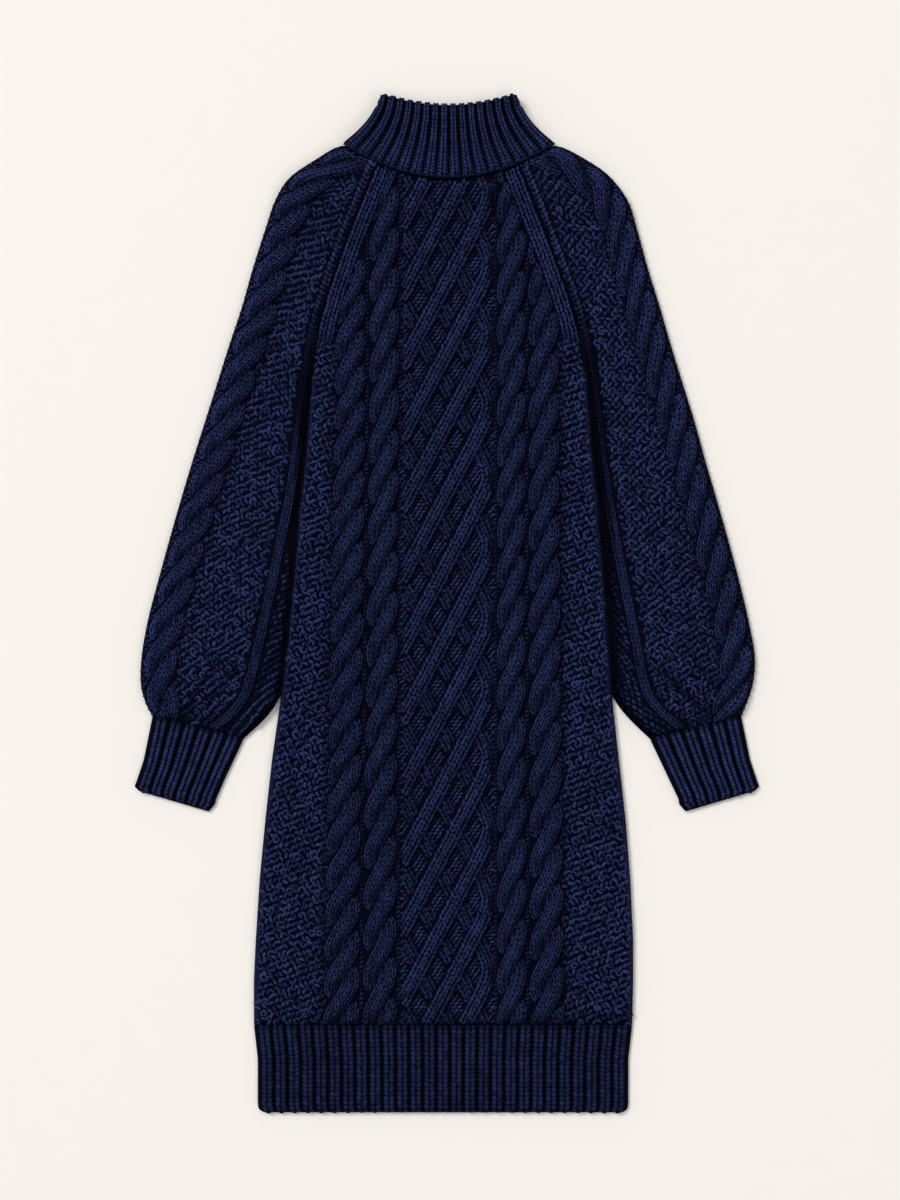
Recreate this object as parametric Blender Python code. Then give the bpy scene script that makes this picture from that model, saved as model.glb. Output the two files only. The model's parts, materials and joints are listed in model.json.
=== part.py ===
"""A cable-knit roll-neck sweater dress, laid flat on its back.

Metres, +Z up. The origin lies under the middle of the dress, +Y points to the
collar and z = 0 is the surface that the back rests on. In the tables "up" is
the distance from the hem's lower edge towards the collar.
"""

from collections import namedtuple
from math import cos, floor, pi, sin, sqrt

import bmesh
import bpy
from mathutils import Vector

# Driving sizes
LENGTH = 1.069            # hem to the top of the turned-down collar
WALL = 0.004              # chunky wool jersey
RIB_WALL = 0.003          # ribbed cloth between its ribs
SEAM = 0.0004             # gap left between two pieces
RAGLAN_GAP = 0.0006       # and between body and sleeve, along their curve
CABLE_RISE = 0.005        # rope cables above the ground of purl stitches
LATTICE_RISE = 0.0045     # upper strands of the middle lattice
UNDER_RISE = 0.0025       # strands that pass beneath them
RIB_RISE = 0.0025
EDGE_ROUND = 0.009        # how far in from a side the cloth starts to turn down
HEM_TOP = 0.092
ROW_PITCH = 0.010         # rows of points along the front
INNER_STEP = 3            # every third row goes on through its inner side and the back

# The neck, seen from above
NECK_X = 0.002
NECK_UP = 0.999           # where collar and front meet
NECK_FLAT = 0.0735        # half the width of the front there
NECK_HALF = 0.089
NECK_RISE = 0.0155        # from the front's corners up to the sides of the neck
FLAP_TOP_HALF = 0.0745
FLAP_HEM_HALF = 0.112
FLAP_TOP_UP = 1.069       # at the corners
FLAP_TOP_DIP = 0.010
FLAP_HEM_UP = 1.018       # at the corners
FLAP_HEM_DIP = 0.036
COLLAR_ROUND = 0.005      # how far in from its folds the collar starts to turn
CREST_DROP = 0.08         # share of the flap's depth that the rounded crest takes
COLLAR_MIDDLE = 2 * RIB_WALL + 1.5 * SEAM    # height of the middle of its four layers
FLAP_CLEAR = RIB_WALL + 1.5 * SEAM           # the stand lies within this half-thickness
NECK_LIFT = RIB_WALL + SEAM    # the body lies on the back half of the collar here
LIFT_FROM = 0.925
LIFT_TO = 0.975
FLAP_FRONT_CLEAR = NECK_LIFT + 2 * WALL + 3 * SEAM - COLLAR_MIDDLE

Edge = namedtuple("Edge", "up left right")
BODY_EDGES = [
    # raglan lines
    Edge(1.013, -0.066, 0.068),
    Edge(0.988, -0.0765, 0.078),
    Edge(0.959, -0.0885, 0.0895),
    Edge(0.938, -0.097, 0.0978),
    Edge(0.906, -0.1095, 0.1105),
    Edge(0.864, -0.1240, 0.126),
    Edge(0.833, -0.1330, 0.1355),
    Edge(0.801, -0.1400, 0.1430),
    # side seams
    Edge(0.766, -0.143, 0.148),
    Edge(0.696, -0.149, 0.153),
    Edge(0.640, -0.155, 0.159),
    Edge(0.574, -0.161, 0.164),
    Edge(0.507, -0.167, 0.169),
    Edge(0.434, -0.175, 0.174),
    Edge(0.371, -0.184, 0.181),
    Edge(0.308, -0.191, 0.188),
    Edge(0.245, -0.197, 0.193),
    Edge(0.182, -0.201, 0.196),
    Edge(0.140, -0.203, 0.196),
    Edge(0.092, -0.203, 0.195),
]
ARMPIT_UP = 0.801

Chart = namedtuple("Chart", "up a_left a_right b_left b_right l_left l_right c_left c_right d_left d_right")
CHART = [
    Chart(0.770, -0.117, -0.086, -0.081, -0.051, -0.047, 0.049, 0.053, 0.082, 0.086, 0.117),
    Chart(0.497, -0.122, -0.088, -0.084, -0.052, -0.048, 0.049, 0.053, 0.082, 0.086, 0.119),
    Chart(0.287, -0.126, -0.091, -0.087, -0.053, -0.049, 0.049, 0.053, 0.083, 0.087, 0.121),
    Chart(0.098, -0.130, -0.092, -0.088, -0.053, -0.049, 0.049, 0.053, 0.083, 0.087, 0.123),
]
MOSS_CELLS = 2             # cells of the front's grid across each stretch
ROPE_CELLS = 4
LATTICE_CELLS = 9
BAND_STEP = 0.0026        # columns packed side by side in the raglan band
RAGLAN_RIBS = 2
RAGLAN_BAND = 0.017
RAGLAN_ROUND = 0.0036      # a raglan seam is rounded this much less than a side

Rope = namedtuple("Rope", "pitch first_up half")    # first_up: a crossing. half: half the width
ROPE_A = Rope(0.0372, 0.714, 0.0165)
ROPE_B = Rope(0.0426, 0.721, 0.0165)
ROPE_C = Rope(0.0426, 0.718, 0.0165)
ROPE_D = Rope(0.0430, 0.759, 0.0165)
ROPE_SWING = 0.5          # how far to each side a strand's middle swings, over half the width
LATTICE_PITCH = 0.0742    # along the body
LATTICE_TURN_UP = 0.744   # a strand turns at the right edge here
LATTICE_SLOPE = 1.88
STRAND_WIDTH = 0.0195

Station = namedtuple("Station", "outer_x outer_up inner_up beside")
# beside: how far the inner edge lies from the body's edge at its height
SLEEVE_LEFT = [
    Station(-0.087, 1.0105, 0.9972, RAGLAN_GAP),
    Station(-0.112, 1.0115, 0.988, RAGLAN_GAP),
    Station(-0.138, 1.000, 0.972, RAGLAN_GAP),
    Station(-0.165, 0.983, 0.951, RAGLAN_GAP),
    Station(-0.180, 0.960, 0.917, RAGLAN_GAP),
    Station(-0.191, 0.929, 0.881, RAGLAN_GAP),
    Station(-0.204, 0.888, 0.843, RAGLAN_GAP),
    Station(-0.216, 0.846, 0.801, RAGLAN_GAP),
    Station(-0.229, 0.807, 0.759, 0.0009),
    Station(-0.241, 0.769, 0.724, 0.0009),
    Station(-0.255, 0.725, 0.684, 0.0009),
    Station(-0.268, 0.684, 0.644, 0.0009),
    Station(-0.280, 0.644, 0.606, 0.0009),
    Station(-0.292, 0.602, 0.568, 0.0009),
    Station(-0.303, 0.562, 0.531, 0.0009),
    Station(-0.314, 0.520, 0.495, 0.0009),
    Station(-0.321, 0.481, 0.461, 0.0009),
    Station(-0.322, 0.451, 0.436, 0.0020),
    Station(-0.317, 0.431, 0.416, 0.012),
    Station(-0.310, 0.417, 0.393, 0.033),
]
SLEEVE_RIGHT = [
    Station(0.091, 1.0105, 0.9965, RAGLAN_GAP),
    Station(0.117, 1.0115, 0.988, RAGLAN_GAP),
    Station(0.145, 1.001, 0.972, RAGLAN_GAP),
    Station(0.170, 0.985, 0.951, RAGLAN_GAP),
    Station(0.190, 0.959, 0.917, RAGLAN_GAP),
    Station(0.200, 0.929, 0.881, RAGLAN_GAP),
    Station(0.211, 0.889, 0.843, RAGLAN_GAP),
    Station(0.224, 0.847, 0.801, RAGLAN_GAP),
    Station(0.235, 0.809, 0.759, 0.0009),
    Station(0.247, 0.770, 0.724, 0.0009),
    Station(0.261, 0.725, 0.684, 0.0009),
    Station(0.272, 0.685, 0.644, 0.0009),
    Station(0.284, 0.644, 0.606, 0.0009),
    Station(0.296, 0.602, 0.568, 0.0009),
    Station(0.307, 0.561, 0.531, 0.0009),
    Station(0.317, 0.519, 0.495, 0.0009),
    Station(0.324, 0.480, 0.461, 0.0009),
    Station(0.322, 0.451, 0.436, 0.0020),
    Station(0.316, 0.432, 0.416, 0.014),
    Station(0.310, 0.417, 0.393, 0.035),
]
ARMPIT_STATION = 7
ROWS_PER_STATION = 4                # fewer over the shoulder, where stations lie closer
SHOULDER_STATIONS = 5
SLEEVE_ROPE = Rope(0.037, 0.030, 0.0165)   # measured down the sleeve from the neck
SLEEVE_ROPE_IN = 0.0045             # from the fold to the rope
SLEEVE_ROPE_WIDTH = 0.033
SLEEVE_ROPE_CELLS = 4
SLEEVE_MOSS_CELLS = 3
SLEEVE_SEAM_BAND = 0.012            # two ribs beside the underarm seam
SEAM_RIB_RISE = 0.0015
FOLD_STEP = 0.0018                  # the last points before the fold
SLEEVE_FULL_WIDTH = 0.072
SHOULDER_PUFF = 0.0008
SLEEVE_PUFF = 0.0030                # air between the layers of the full lower sleeve
GATHERS = 5
GATHER_RISE = 0.0026
GATHER_LENGTH = 0.055

Cuff = namedtuple("Cuff", "outer_x outer_up inner_x inner_up")
CUFF_LEFT = [
    Cuff(-0.310, 0.4165, -0.214, 0.3925),
    Cuff(-0.3105, 0.413, -0.2155, 0.389),
    Cuff(-0.319, 0.371, -0.233, 0.352),
    Cuff(-0.327, 0.347, -0.243, 0.329),
    Cuff(-0.3285, 0.343, -0.2455, 0.324),
    Cuff(-0.324, 0.3385, -0.249, 0.317),
]
CUFF_RIGHT = [
    Cuff(0.310, 0.4165, 0.214, 0.3925),
    Cuff(0.3105, 0.413, 0.2155, 0.389),
    Cuff(0.319, 0.371, 0.233, 0.352),
    Cuff(0.327, 0.347, 0.244, 0.329),
    Cuff(0.3285, 0.343, 0.246, 0.324),
    Cuff(0.324, 0.3385, 0.250, 0.317),
]
CUFF_RIBS = 6
HEM_RIBS = 27
COLLAR_RIBS = 16
RIB_PROFILE = (0.0, 1.0, 1.0)      # one rib: its valley, then both shoulders
COLUMNS_PER_RIB = len(RIB_PROFILE)

Ring = namedtuple("Ring", "up left right")
HEM_EDGES = [
    Ring(0.0916, -0.203, 0.195),
    Ring(0.087, -0.2025, 0.1945),
    Ring(0.056, -0.199, 0.191),
    Ring(0.008, -0.199, 0.191),
    Ring(0.003, -0.198, 0.190),
    Ring(0.000, -0.193, 0.185),
]

# How the wall's thickness and the ribs' height fade over a tube's rows
TUBE_ENDS = [(1.0, 0.0), (1.0, 1.0), (1.0, 1.0), (1.0, 1.0), (0.85, 0.8), (0.5, 0.0)]
UNDER_SHARES = (1.0, 0.5, 0.0)    # points across a tube's underside

BACK_COLUMNS = (0.0, 0.003, 0.009, 0.06)    # distances in from each side of the back

NAVY = (0.0075, 0.0110, 0.0420)


def smooth(value, start, end):
    """0 before start, 1 after end and a soft step between."""
    t = min(1.0, max(0.0, (value - start) / (end - start)))
    return t * t * (3 - 2 * t)


def between(table, up):
    """A row of the table at this height, for tables that run downwards."""
    if up >= table[0].up:
        return table[0]
    for high, low in zip(table, table[1:]):
        if up >= low.up:
            t = (high.up - up) / (high.up - low.up)
            return type(high)(*(a + (b - a) * t for a, b in zip(high, low)))
    return table[-1]


def along(table, t):
    """A row of the table at the fractional index t, on a smooth curve through its rows."""
    i = min(int(t), len(table) - 2)
    f = t - i
    last = len(table) - 1
    a, b, c, d = table[max(0, i - 1)], table[i], table[i + 1], table[min(last, i + 2)]
    return type(b)(*(
        q + 0.5 * f * (r - p + f * (2 * p - 5 * q + 4 * r - s + f * (3 * (q - r) + s - p)))
        for p, q, r, s in zip(a, b, c, d)
    ))


def every(count, step):
    """Indices 0 to count - 1 in this step, with the last one."""
    return [i for i in range(0, count - 1, step) if count - 1 - i >= step / 2] + [count - 1]


def lift(up):
    """How far the body rises near the neck, where it lies on the collar's back half."""
    return NECK_LIFT * smooth(up, LIFT_FROM, LIFT_TO)


def body_wall(up):
    """The body's wall, as thin as the ribs' where the hem is joined on."""
    return RIB_WALL + (WALL - RIB_WALL) * smooth(up, HEM_TOP, HEM_TOP + 0.02)


def neck_up(x):
    """The seam between collar and body."""
    beyond = (abs(x - NECK_X) - NECK_FLAT) / (NECK_HALF - NECK_FLAT)
    return NECK_UP + NECK_RISE * min(1.0, max(0.0, beyond))


def flap_hem_up(x):
    """The lower edge of the turned-down collar."""
    side = min(1.0, abs(x - NECK_X) / FLAP_HEM_HALF)
    return FLAP_HEM_UP - FLAP_HEM_DIP * (1 - side ** 2)


def clear_of_collar(x, up):
    """0 under the collar's flap, 1 where the body shows."""
    return smooth(flap_hem_up(x) - up, 0.004, 0.013)


def turn_down(distance):
    """1 away from an edge and less towards it, as a wall's outer side rounds over."""
    t = min(1.0, max(0.0, distance / EDGE_ROUND))
    return 0.45 + 0.55 * sqrt(1 - (1 - t) ** 2)


def rope_height(across, up, rope):
    """A two-strand rope, 0 to 1, whose strands cross on top as they climb to the right.

    across runs from -1 to 1. Each strand swings from the left to the right as
    it passes over, and its ends dip under the crossings below and above.
    """
    height = 0.0
    below = floor((up - rope.first_up) / rope.pitch)
    for crossing in (below, below + 1):
        turn = pi * ((up - rope.first_up) / rope.pitch - crossing)
        lean = ROPE_SWING * rope.half * pi / rope.pitch * cos(turn)
        reach = (1 - ROPE_SWING) * sqrt(1 + lean ** 2)
        off = (across - ROPE_SWING * sin(turn)) / reach
        height = max(height, cos(turn / 2) * sqrt(max(0.0, 1 - off ** 2)))
    return height


def strand_height(turns):
    """Half-round section of a lattice strand, from how many strands along the point lies."""
    distance = abs(turns - round(turns)) * LATTICE_PITCH / sqrt(1 + LATTICE_SLOPE ** 2)
    return sqrt(max(0.0, 1 - (2 * distance / STRAND_WIDTH) ** 2))


def lattice_height(x, up, row):
    """The crossing strands between the ropes."""
    edge = smooth(min(x - row.l_left, row.l_right - x), 0.0, 0.006)
    run = (x - row.l_right) * LATTICE_SLOPE
    over = strand_height((up - LATTICE_TURN_UP - run) / LATTICE_PITCH)
    under = strand_height((up - LATTICE_TURN_UP + run) / LATTICE_PITCH)
    return edge * max(LATTICE_RISE * over, UNDER_RISE * under)


def body_height(x, up, edges):
    """What stands up from the ground of the front at this point."""
    row = between(CHART, up)
    ropes = (
        (row.a_left, row.a_right, ROPE_A),
        (row.b_left, row.b_right, ROPE_B),
        (row.c_left, row.c_right, ROPE_C),
        (row.d_left, row.d_right, ROPE_D),
    )
    height = lattice_height(x, up, row) if row.l_left < x < row.l_right else 0.0
    for left, right, rope in ropes:
        across = (2 * x - left - right) / (right - left)
        height = max(height, CABLE_RISE * rope_height(across, up, rope))
    from_edge = min(x - edges.left, edges.right - x)
    in_band = 1 - smooth(from_edge, RAGLAN_BAND, RAGLAN_BAND + 0.004)
    in_band *= smooth(up, ARMPIT_UP, ARMPIT_UP + 0.03)
    band = RIB_RISE * abs(sin(pi * RAGLAN_RIBS * min(from_edge, RAGLAN_BAND) / RAGLAN_BAND))
    height += (band - height) * in_band
    beside_hem = smooth(up, HEM_TOP + SEAM, HEM_TOP + 0.014)
    return height * beside_hem * clear_of_collar(x, up)


def material(name, colour, roughness):
    made = bpy.data.materials.new(name)
    made.use_nodes = True
    surface = made.node_tree.nodes["Principled BSDF"]
    surface.inputs["Base Color"].default_value = (*colour, 1)
    surface.inputs["Roughness"].default_value = roughness
    surface.inputs["Metallic"].default_value = 0.0
    made.diffuse_color = (*colour, 1)
    return made


def rim(mesh, outer, inner, kept):
    """Close the wall between an outer edge and the sparser inner edge behind it."""
    for first, last in zip(kept, kept[1:]):
        middle = (first + last) // 2
        for i in range(first, last):
            anchor = inner[first] if i < middle else inner[last]
            mesh.faces.new((outer[i], outer[i + 1], anchor))
        mesh.faces.new((inner[first], outer[middle], inner[last]))


def cloth(name, outer, inner, kept_rows, kept_columns, ring=False, leans_right=True):
    """One knitted piece as a closed wall.

    outer and inner are rows of (x, up, z). The inner side is plain, so only
    its kept rows and columns get points, and each of its cells is split along
    the lower diagonal, so that two layers lie alike. A ring closes on its first
    column. leans_right picks the diagonal of the outer cells, along the ropes'
    strands.
    """
    mesh = bmesh.new()

    def point(place):
        x, up, z = place
        return mesh.verts.new((x, up - LENGTH / 2, z))

    skin = [[point(place) for place in row] for row in outer]
    back = [
        [point(place) if r in kept_rows and c in kept_columns else None for c, place in enumerate(row)]
        for r, row in enumerate(inner)
    ]
    if ring:
        for row in skin + back:
            row.append(row[0])
        kept_columns = kept_columns + [len(outer[0])]
    for low, high in zip(skin, skin[1:]):
        for c in range(len(low) - 1):
            corners = (low[c], low[c + 1], high[c + 1], high[c])
            start = 0 if leans_right else 1
            corners = corners[start:] + corners[:start]
            mesh.faces.new(corners[:3])
            mesh.faces.new((corners[0], corners[2], corners[3]))
    for low, high in zip(kept_rows, kept_rows[1:]):
        for left, right in zip(kept_columns, kept_columns[1:]):
            corners = [back[low][left], back[high][left], back[high][right], back[low][right]]
            if corners[0].co.z + corners[2].co.z > corners[1].co.z + corners[3].co.z:
                corners = corners[1:] + corners[:1]
            mesh.faces.new(corners[:3])
            mesh.faces.new((corners[0], corners[2], corners[3]))
    rim(mesh, skin[0], back[0], kept_columns)
    rim(mesh, skin[-1], back[-1], kept_columns)
    if not ring:
        for c in (0, len(outer[0]) - 1):
            rim(mesh, [row[c] for row in skin], [row[c] for row in back], kept_rows)
    bmesh.ops.recalc_face_normals(mesh, faces=mesh.faces)
    if mesh.calc_volume(signed=True) < 0:
        bmesh.ops.reverse_faces(mesh, faces=mesh.faces)
    data = bpy.data.meshes.new(name)
    mesh.to_mesh(data)
    mesh.free()
    data.shade_smooth()
    data.set_sharp_from_angle(angle=pi / 4)
    data.materials.append(material(name + "_wool", NAVY, 0.9))
    piece = bpy.data.objects.new(name, data)
    bpy.context.scene.collection.objects.link(piece)
    return piece


def panel_rows():
    """Heights of the rows of a body panel, from the hem seam to the neck seam."""
    start = HEM_TOP + SEAM
    end = NECK_UP - SEAM
    count = round((end - start) / ROW_PITCH)
    return [start + (end - start) * i / count for i in range(count + 1)]


def front_columns(up, edges):
    """Places across the front: one at each edge of a rope, and more between."""
    row = between(CHART, up)
    marks = (
        (edges.left, MOSS_CELLS), (row.a_left, ROPE_CELLS), (row.a_right, 1),
        (row.b_left, ROPE_CELLS), (row.b_right, 1), (row.l_left, LATTICE_CELLS),
        (row.l_right, 1), (row.c_left, ROPE_CELLS), (row.c_right, 1),
        (row.d_left, ROPE_CELLS), (row.d_right, MOSS_CELLS), (edges.right, 0),
    )
    columns = []
    for (start, cells), (end, _) in zip(marks, marks[1:]):
        columns += [start + (end - start) * i / cells for i in range(cells)]
    columns.append(edges.right)
    last = len(columns) - 1
    packed = [max(x, edges.left + i * BAND_STEP) for i, x in enumerate(columns)]
    return [min(x, edges.right - (last - i) * BAND_STEP) for i, x in enumerate(packed)]


def make_front():
    outer, inner = [], []
    for up in panel_rows():
        edges = between(BODY_EDGES, up)
        wall = body_wall(up)
        ground = wall + SEAM + lift(up)
        at_raglan = smooth(up, ARMPIT_UP - 0.02, ARMPIT_UP + 0.02) * RAGLAN_ROUND
        skin, plain = [], []
        for x in front_columns(up, edges):
            from_edge = min(x - edges.left, edges.right - x)
            top = ground + wall * turn_down(from_edge + at_raglan) + body_height(x, up, edges)
            skin.append((x, up, top))
            plain.append((x, up, ground))
        outer.append(skin)
        inner.append(plain)
    kept_columns = every(len(outer[0]), 7)
    return cloth("front_panel", outer, inner, every(len(outer), INNER_STEP), kept_columns)


def make_back():
    """The back lies under the front: plain below where it rests, and plain inside."""
    outer, inner = [], []
    heights = panel_rows()
    for up in [heights[i] for i in every(len(heights), INNER_STEP)]:
        edges = between(BODY_EDGES, up)
        wall = body_wall(up)
        skin, plain = [], []
        places = [edges.left + step for step in BACK_COLUMNS]
        places += [edges.right - step for step in reversed(BACK_COLUMNS)]
        for x in places:
            from_edge = min(x - edges.left, edges.right - x)
            skin.append((x, up, lift(up) + wall * (1 - turn_down(from_edge))))
            plain.append((x, up, lift(up) + wall))
        outer.append(skin)
        inner.append(plain)
    return cloth("back_panel", outer, inner, list(range(len(outer))), [0, 3, 4, 7])


FRONT, FOLD, BACK = "front", "fold", "back"


def sleeve_section(width):
    """(layer, distance in from the fold) round a sleeve, from the front's inner edge.

    Over the shoulder, where the sleeve is narrow, the places draw together.
    """
    close = min(1.0, width / SLEEVE_FULL_WIDTH)
    seam_band = width - SLEEVE_SEAM_BAND * close
    rope_start = SLEEVE_ROPE_IN * close
    rope_end = rope_start + SLEEVE_ROPE_WIDTH * close
    edge = EDGE_ROUND * close
    front = [width, (width + seam_band) / 2]
    front += [seam_band + (rope_end - seam_band) * i / SLEEVE_MOSS_CELLS for i in range(SLEEVE_MOSS_CELLS)]
    front += [rope_end + (rope_start - rope_end) * i / SLEEVE_ROPE_CELLS for i in range(SLEEVE_ROPE_CELLS + 1)]
    front.append(FOLD_STEP * close)
    back = [FOLD_STEP * close, edge, seam_band, width]
    return [(FRONT, d) for d in front] + [(FOLD, 0.0)] + [(BACK, d) for d in back]


SleeveRow = namedtuple("SleeveRow", "index fold inward width down")


def sleeve_rows(stations):
    """The rows of a sleeve from neck to cuff: its fold, the way in to its seam, and its width."""
    rows = []
    down = 0.0
    last_middle = None
    over_shoulder = [i / (ROWS_PER_STATION - 1) for i in range(SHOULDER_STATIONS * (ROWS_PER_STATION - 1))]
    arm_rows = (len(stations) - 1 - SHOULDER_STATIONS) * ROWS_PER_STATION
    down_arm = [SHOULDER_STATIONS + i / ROWS_PER_STATION for i in range(arm_rows + 1)]
    for index in over_shoulder + down_arm:
        row = along(stations, index)
        edges = between(BODY_EDGES, row.inner_up)
        inner_x = edges.left - row.beside if row.outer_x < 0 else edges.right + row.beside
        fold = Vector((row.outer_x, row.outer_up))
        seam = Vector((inner_x, row.inner_up))
        middle = (fold + seam) / 2
        down += (middle - last_middle).length if last_middle else 0.0
        last_middle = middle
        rows.append(SleeveRow(index, fold, (seam - fold).normalized(), (seam - fold).length, down))
    return rows


def sleeve_height(row, distance, to_cuff):
    """What stands up from the ground of a sleeve: its rope, two ribs at the seam, the gathers."""
    across = 2 * (distance - SLEEVE_ROPE_IN) / SLEEVE_ROPE_WIDTH - 1
    rightwards = across if row.fold.x < 0 else -across
    rope = CABLE_RISE * rope_height(rightwards, -row.down, SLEEVE_ROPE)
    beside_seam = min(1.0, (row.width - distance) / SLEEVE_SEAM_BAND)
    ribs = SEAM_RIB_RISE * abs(sin(2 * pi * beside_seam))
    gathered = GATHER_RISE * (1 - smooth(to_cuff, 0.0, GATHER_LENGTH))
    height = max(rope, ribs) + gathered * sin(pi * GATHERS * distance / row.width) ** 2
    return height * smooth(to_cuff, 0.0, 0.010)


def make_sleeve(name, stations):
    """One knitted piece folded at its outer edge, with its seam along the inner one."""
    outer, inner = [], []
    rows = sleeve_rows(stations)
    for row in rows:
        to_cuff = rows[-1].down - row.down
        arm = smooth(row.index, ARMPIT_STATION - 1, ARMPIT_STATION + 1)
        full = smooth(row.index, ARMPIT_STATION, ARMPIT_STATION + 8) * smooth(to_cuff, 0.0, 0.03)
        seam_round = (1 - arm) * RAGLAN_ROUND
        wall = RIB_WALL + (WALL - RIB_WALL) * smooth(to_cuff, 0.0, 0.02)
        inner_fold = wall + FOLD_STEP
        skin, plain = [], []
        for layer, distance in sleeve_section(row.width):
            place = row.fold + row.inward * distance
            inside = row.fold + row.inward * max(distance, inner_fold)
            raised = lift(place.y)
            turned = min(turn_down(distance), turn_down(row.width - distance + seam_round))
            share = distance / row.width
            air = (SHOULDER_PUFF + (SLEEVE_PUFF - SHOULDER_PUFF) * full) * 4 * share * (1 - share)
            ground = raised + wall + SEAM + air
            if layer == FRONT:
                height = sleeve_height(row, distance, to_cuff) * clear_of_collar(place.x, place.y)
                skin.append((place.x, place.y, ground + wall * turned + height))
                plain.append((inside.x, inside.y, ground))
            elif layer == BACK:
                skin.append((place.x, place.y, raised + wall * (1 - turned)))
                plain.append((inside.x, inside.y, raised + wall))
            else:
                inside = row.fold + row.inward * wall
                skin.append((place.x, place.y, raised + wall + SEAM / 2))
                plain.append((inside.x, inside.y, raised + wall + SEAM / 2))
        outer.append(skin)
        inner.append(plain)
    fold = [layer for layer, _ in sleeve_section(row.width)].index(FOLD)
    kept_columns = [0, 2, fold - 2, fold, fold + 2, fold + 3, fold + 4]
    leans_right = rows[0].fold.x < 0
    return cloth(name, outer, inner, every(len(outer), 2), kept_columns, leans_right=leans_right)


def flat_ring(left, right, squeeze, ribs, relief):
    """Points round a flattened tube of ribbed cloth, from the left fold over the top.

    left and right are (x, up) at the two folds. squeeze is less than 1 where
    the cloth thins to its edge. Returns the outer and the inner points.
    """
    left, right = Vector(left), Vector(right)
    across = (right - left).normalized()
    middle = RIB_WALL + SEAM / 2
    half = SEAM / 2 + RIB_WALL * squeeze
    flat = (right - left).length - 2 * middle
    columns = ribs * COLUMNS_PER_RIB
    outer, inner = [], []

    def add(distance, z_outer, z_inner, inset=0.0):
        place = left + across * distance
        inside = left + across * (distance + inset)
        outer.append((place.x, place.y, z_outer))
        inner.append((inside.x, inside.y, z_inner))

    add(0.0, middle, middle, RIB_WALL)
    for c in range(columns + 1):
        rib = RIB_PROFILE[c % COLUMNS_PER_RIB] * relief
        add(middle + flat * c / columns, middle + half + rib, middle + SEAM / 2)
    add(2 * middle + flat, middle, middle, -RIB_WALL)
    for share in UNDER_SHARES:
        add(middle + flat * share, middle - half, middle - SEAM / 2)
    return outer, inner


def make_tube(name, folds, ribs):
    """A cuff or the hem: a ribbed tube, laid flat, with its ribs from the first row to the last."""
    outer, inner = [], []
    for (left, right), (squeeze, relief) in zip(folds, TUBE_ENDS):
        skin, plain = flat_ring(left, right, squeeze, ribs, RIB_RISE * relief)
        outer.append(skin)
        inner.append(plain)
    top = ribs * COLUMNS_PER_RIB + 3
    kept_columns = [0] + [c + 1 for c in every(top - 2, 12)] + list(range(top - 1, len(outer[0])))
    return cloth(name, outer, inner, list(range(len(outer))), kept_columns, ring=True)


def make_cuff(name, rows):
    ends = [sorted(((row.outer_x, row.outer_up), (row.inner_x, row.inner_up))) for row in rows]
    return make_tube(name, ends, CUFF_RIBS)


def make_hem():
    return make_tube("hem_band", [((row.left, row.up), (row.right, row.up)) for row in HEM_EDGES], HEM_RIBS)


CollarRow = namedtuple("CollarRow", "half corner_up bow front back squeeze relief inset below")


def collar_row(drop, **changes):
    """A row of the flap, drop running from 0 at the crest to 1 at its lower edge.

    front and back are how far the face nearer the middle of the collar lies
    above and below it. bow is how far the row's centre lies below its ends, and
    inset and below are where the wall's other face lies from its first one.
    """
    row = CollarRow(
        half=FLAP_TOP_HALF + (FLAP_HEM_HALF - FLAP_TOP_HALF) * drop ** 1.7,
        corner_up=FLAP_TOP_UP + (FLAP_HEM_UP - FLAP_TOP_UP) * drop,
        bow=FLAP_TOP_DIP + (FLAP_HEM_DIP - FLAP_TOP_DIP) * drop,
        front=FLAP_CLEAR + (FLAP_FRONT_CLEAR - FLAP_CLEAR) * smooth(drop, 0.1, 0.7),
        back=FLAP_CLEAR,
        squeeze=1.0,
        relief=1.0,
        inset=-RIB_WALL,
        below=0.0,
    )
    return row._replace(**changes)


def collar_rows():
    """From the flap's lower edge up over the crest and down the stand to the neck seam."""
    rows = [collar_row(1.0, squeeze=0.55, relief=0.0)]
    rows += [collar_row(drop) for drop in (0.96, 0.68, 0.36, CREST_DROP)]
    turn = FLAP_CLEAR - SEAM / 2
    rows.append(collar_row(0.0, front=turn, back=turn, squeeze=0.0, relief=0.0, below=RIB_WALL))
    crest = collar_row(CREST_DROP)
    inside = dict(squeeze=1.0, relief=0.0, inset=RIB_WALL)
    stand = crest.half - 2 * RIB_WALL - SEAM
    rows.append(crest._replace(half=stand, front=SEAM / 2, back=SEAM / 2, **inside))
    base_front = NECK_LIFT + WALL + SEAM - COLLAR_MIDDLE
    rows.append(collar_row(0.5, half=NECK_HALF, bow=None, front=base_front, back=SEAM / 2, **inside))
    return rows


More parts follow.
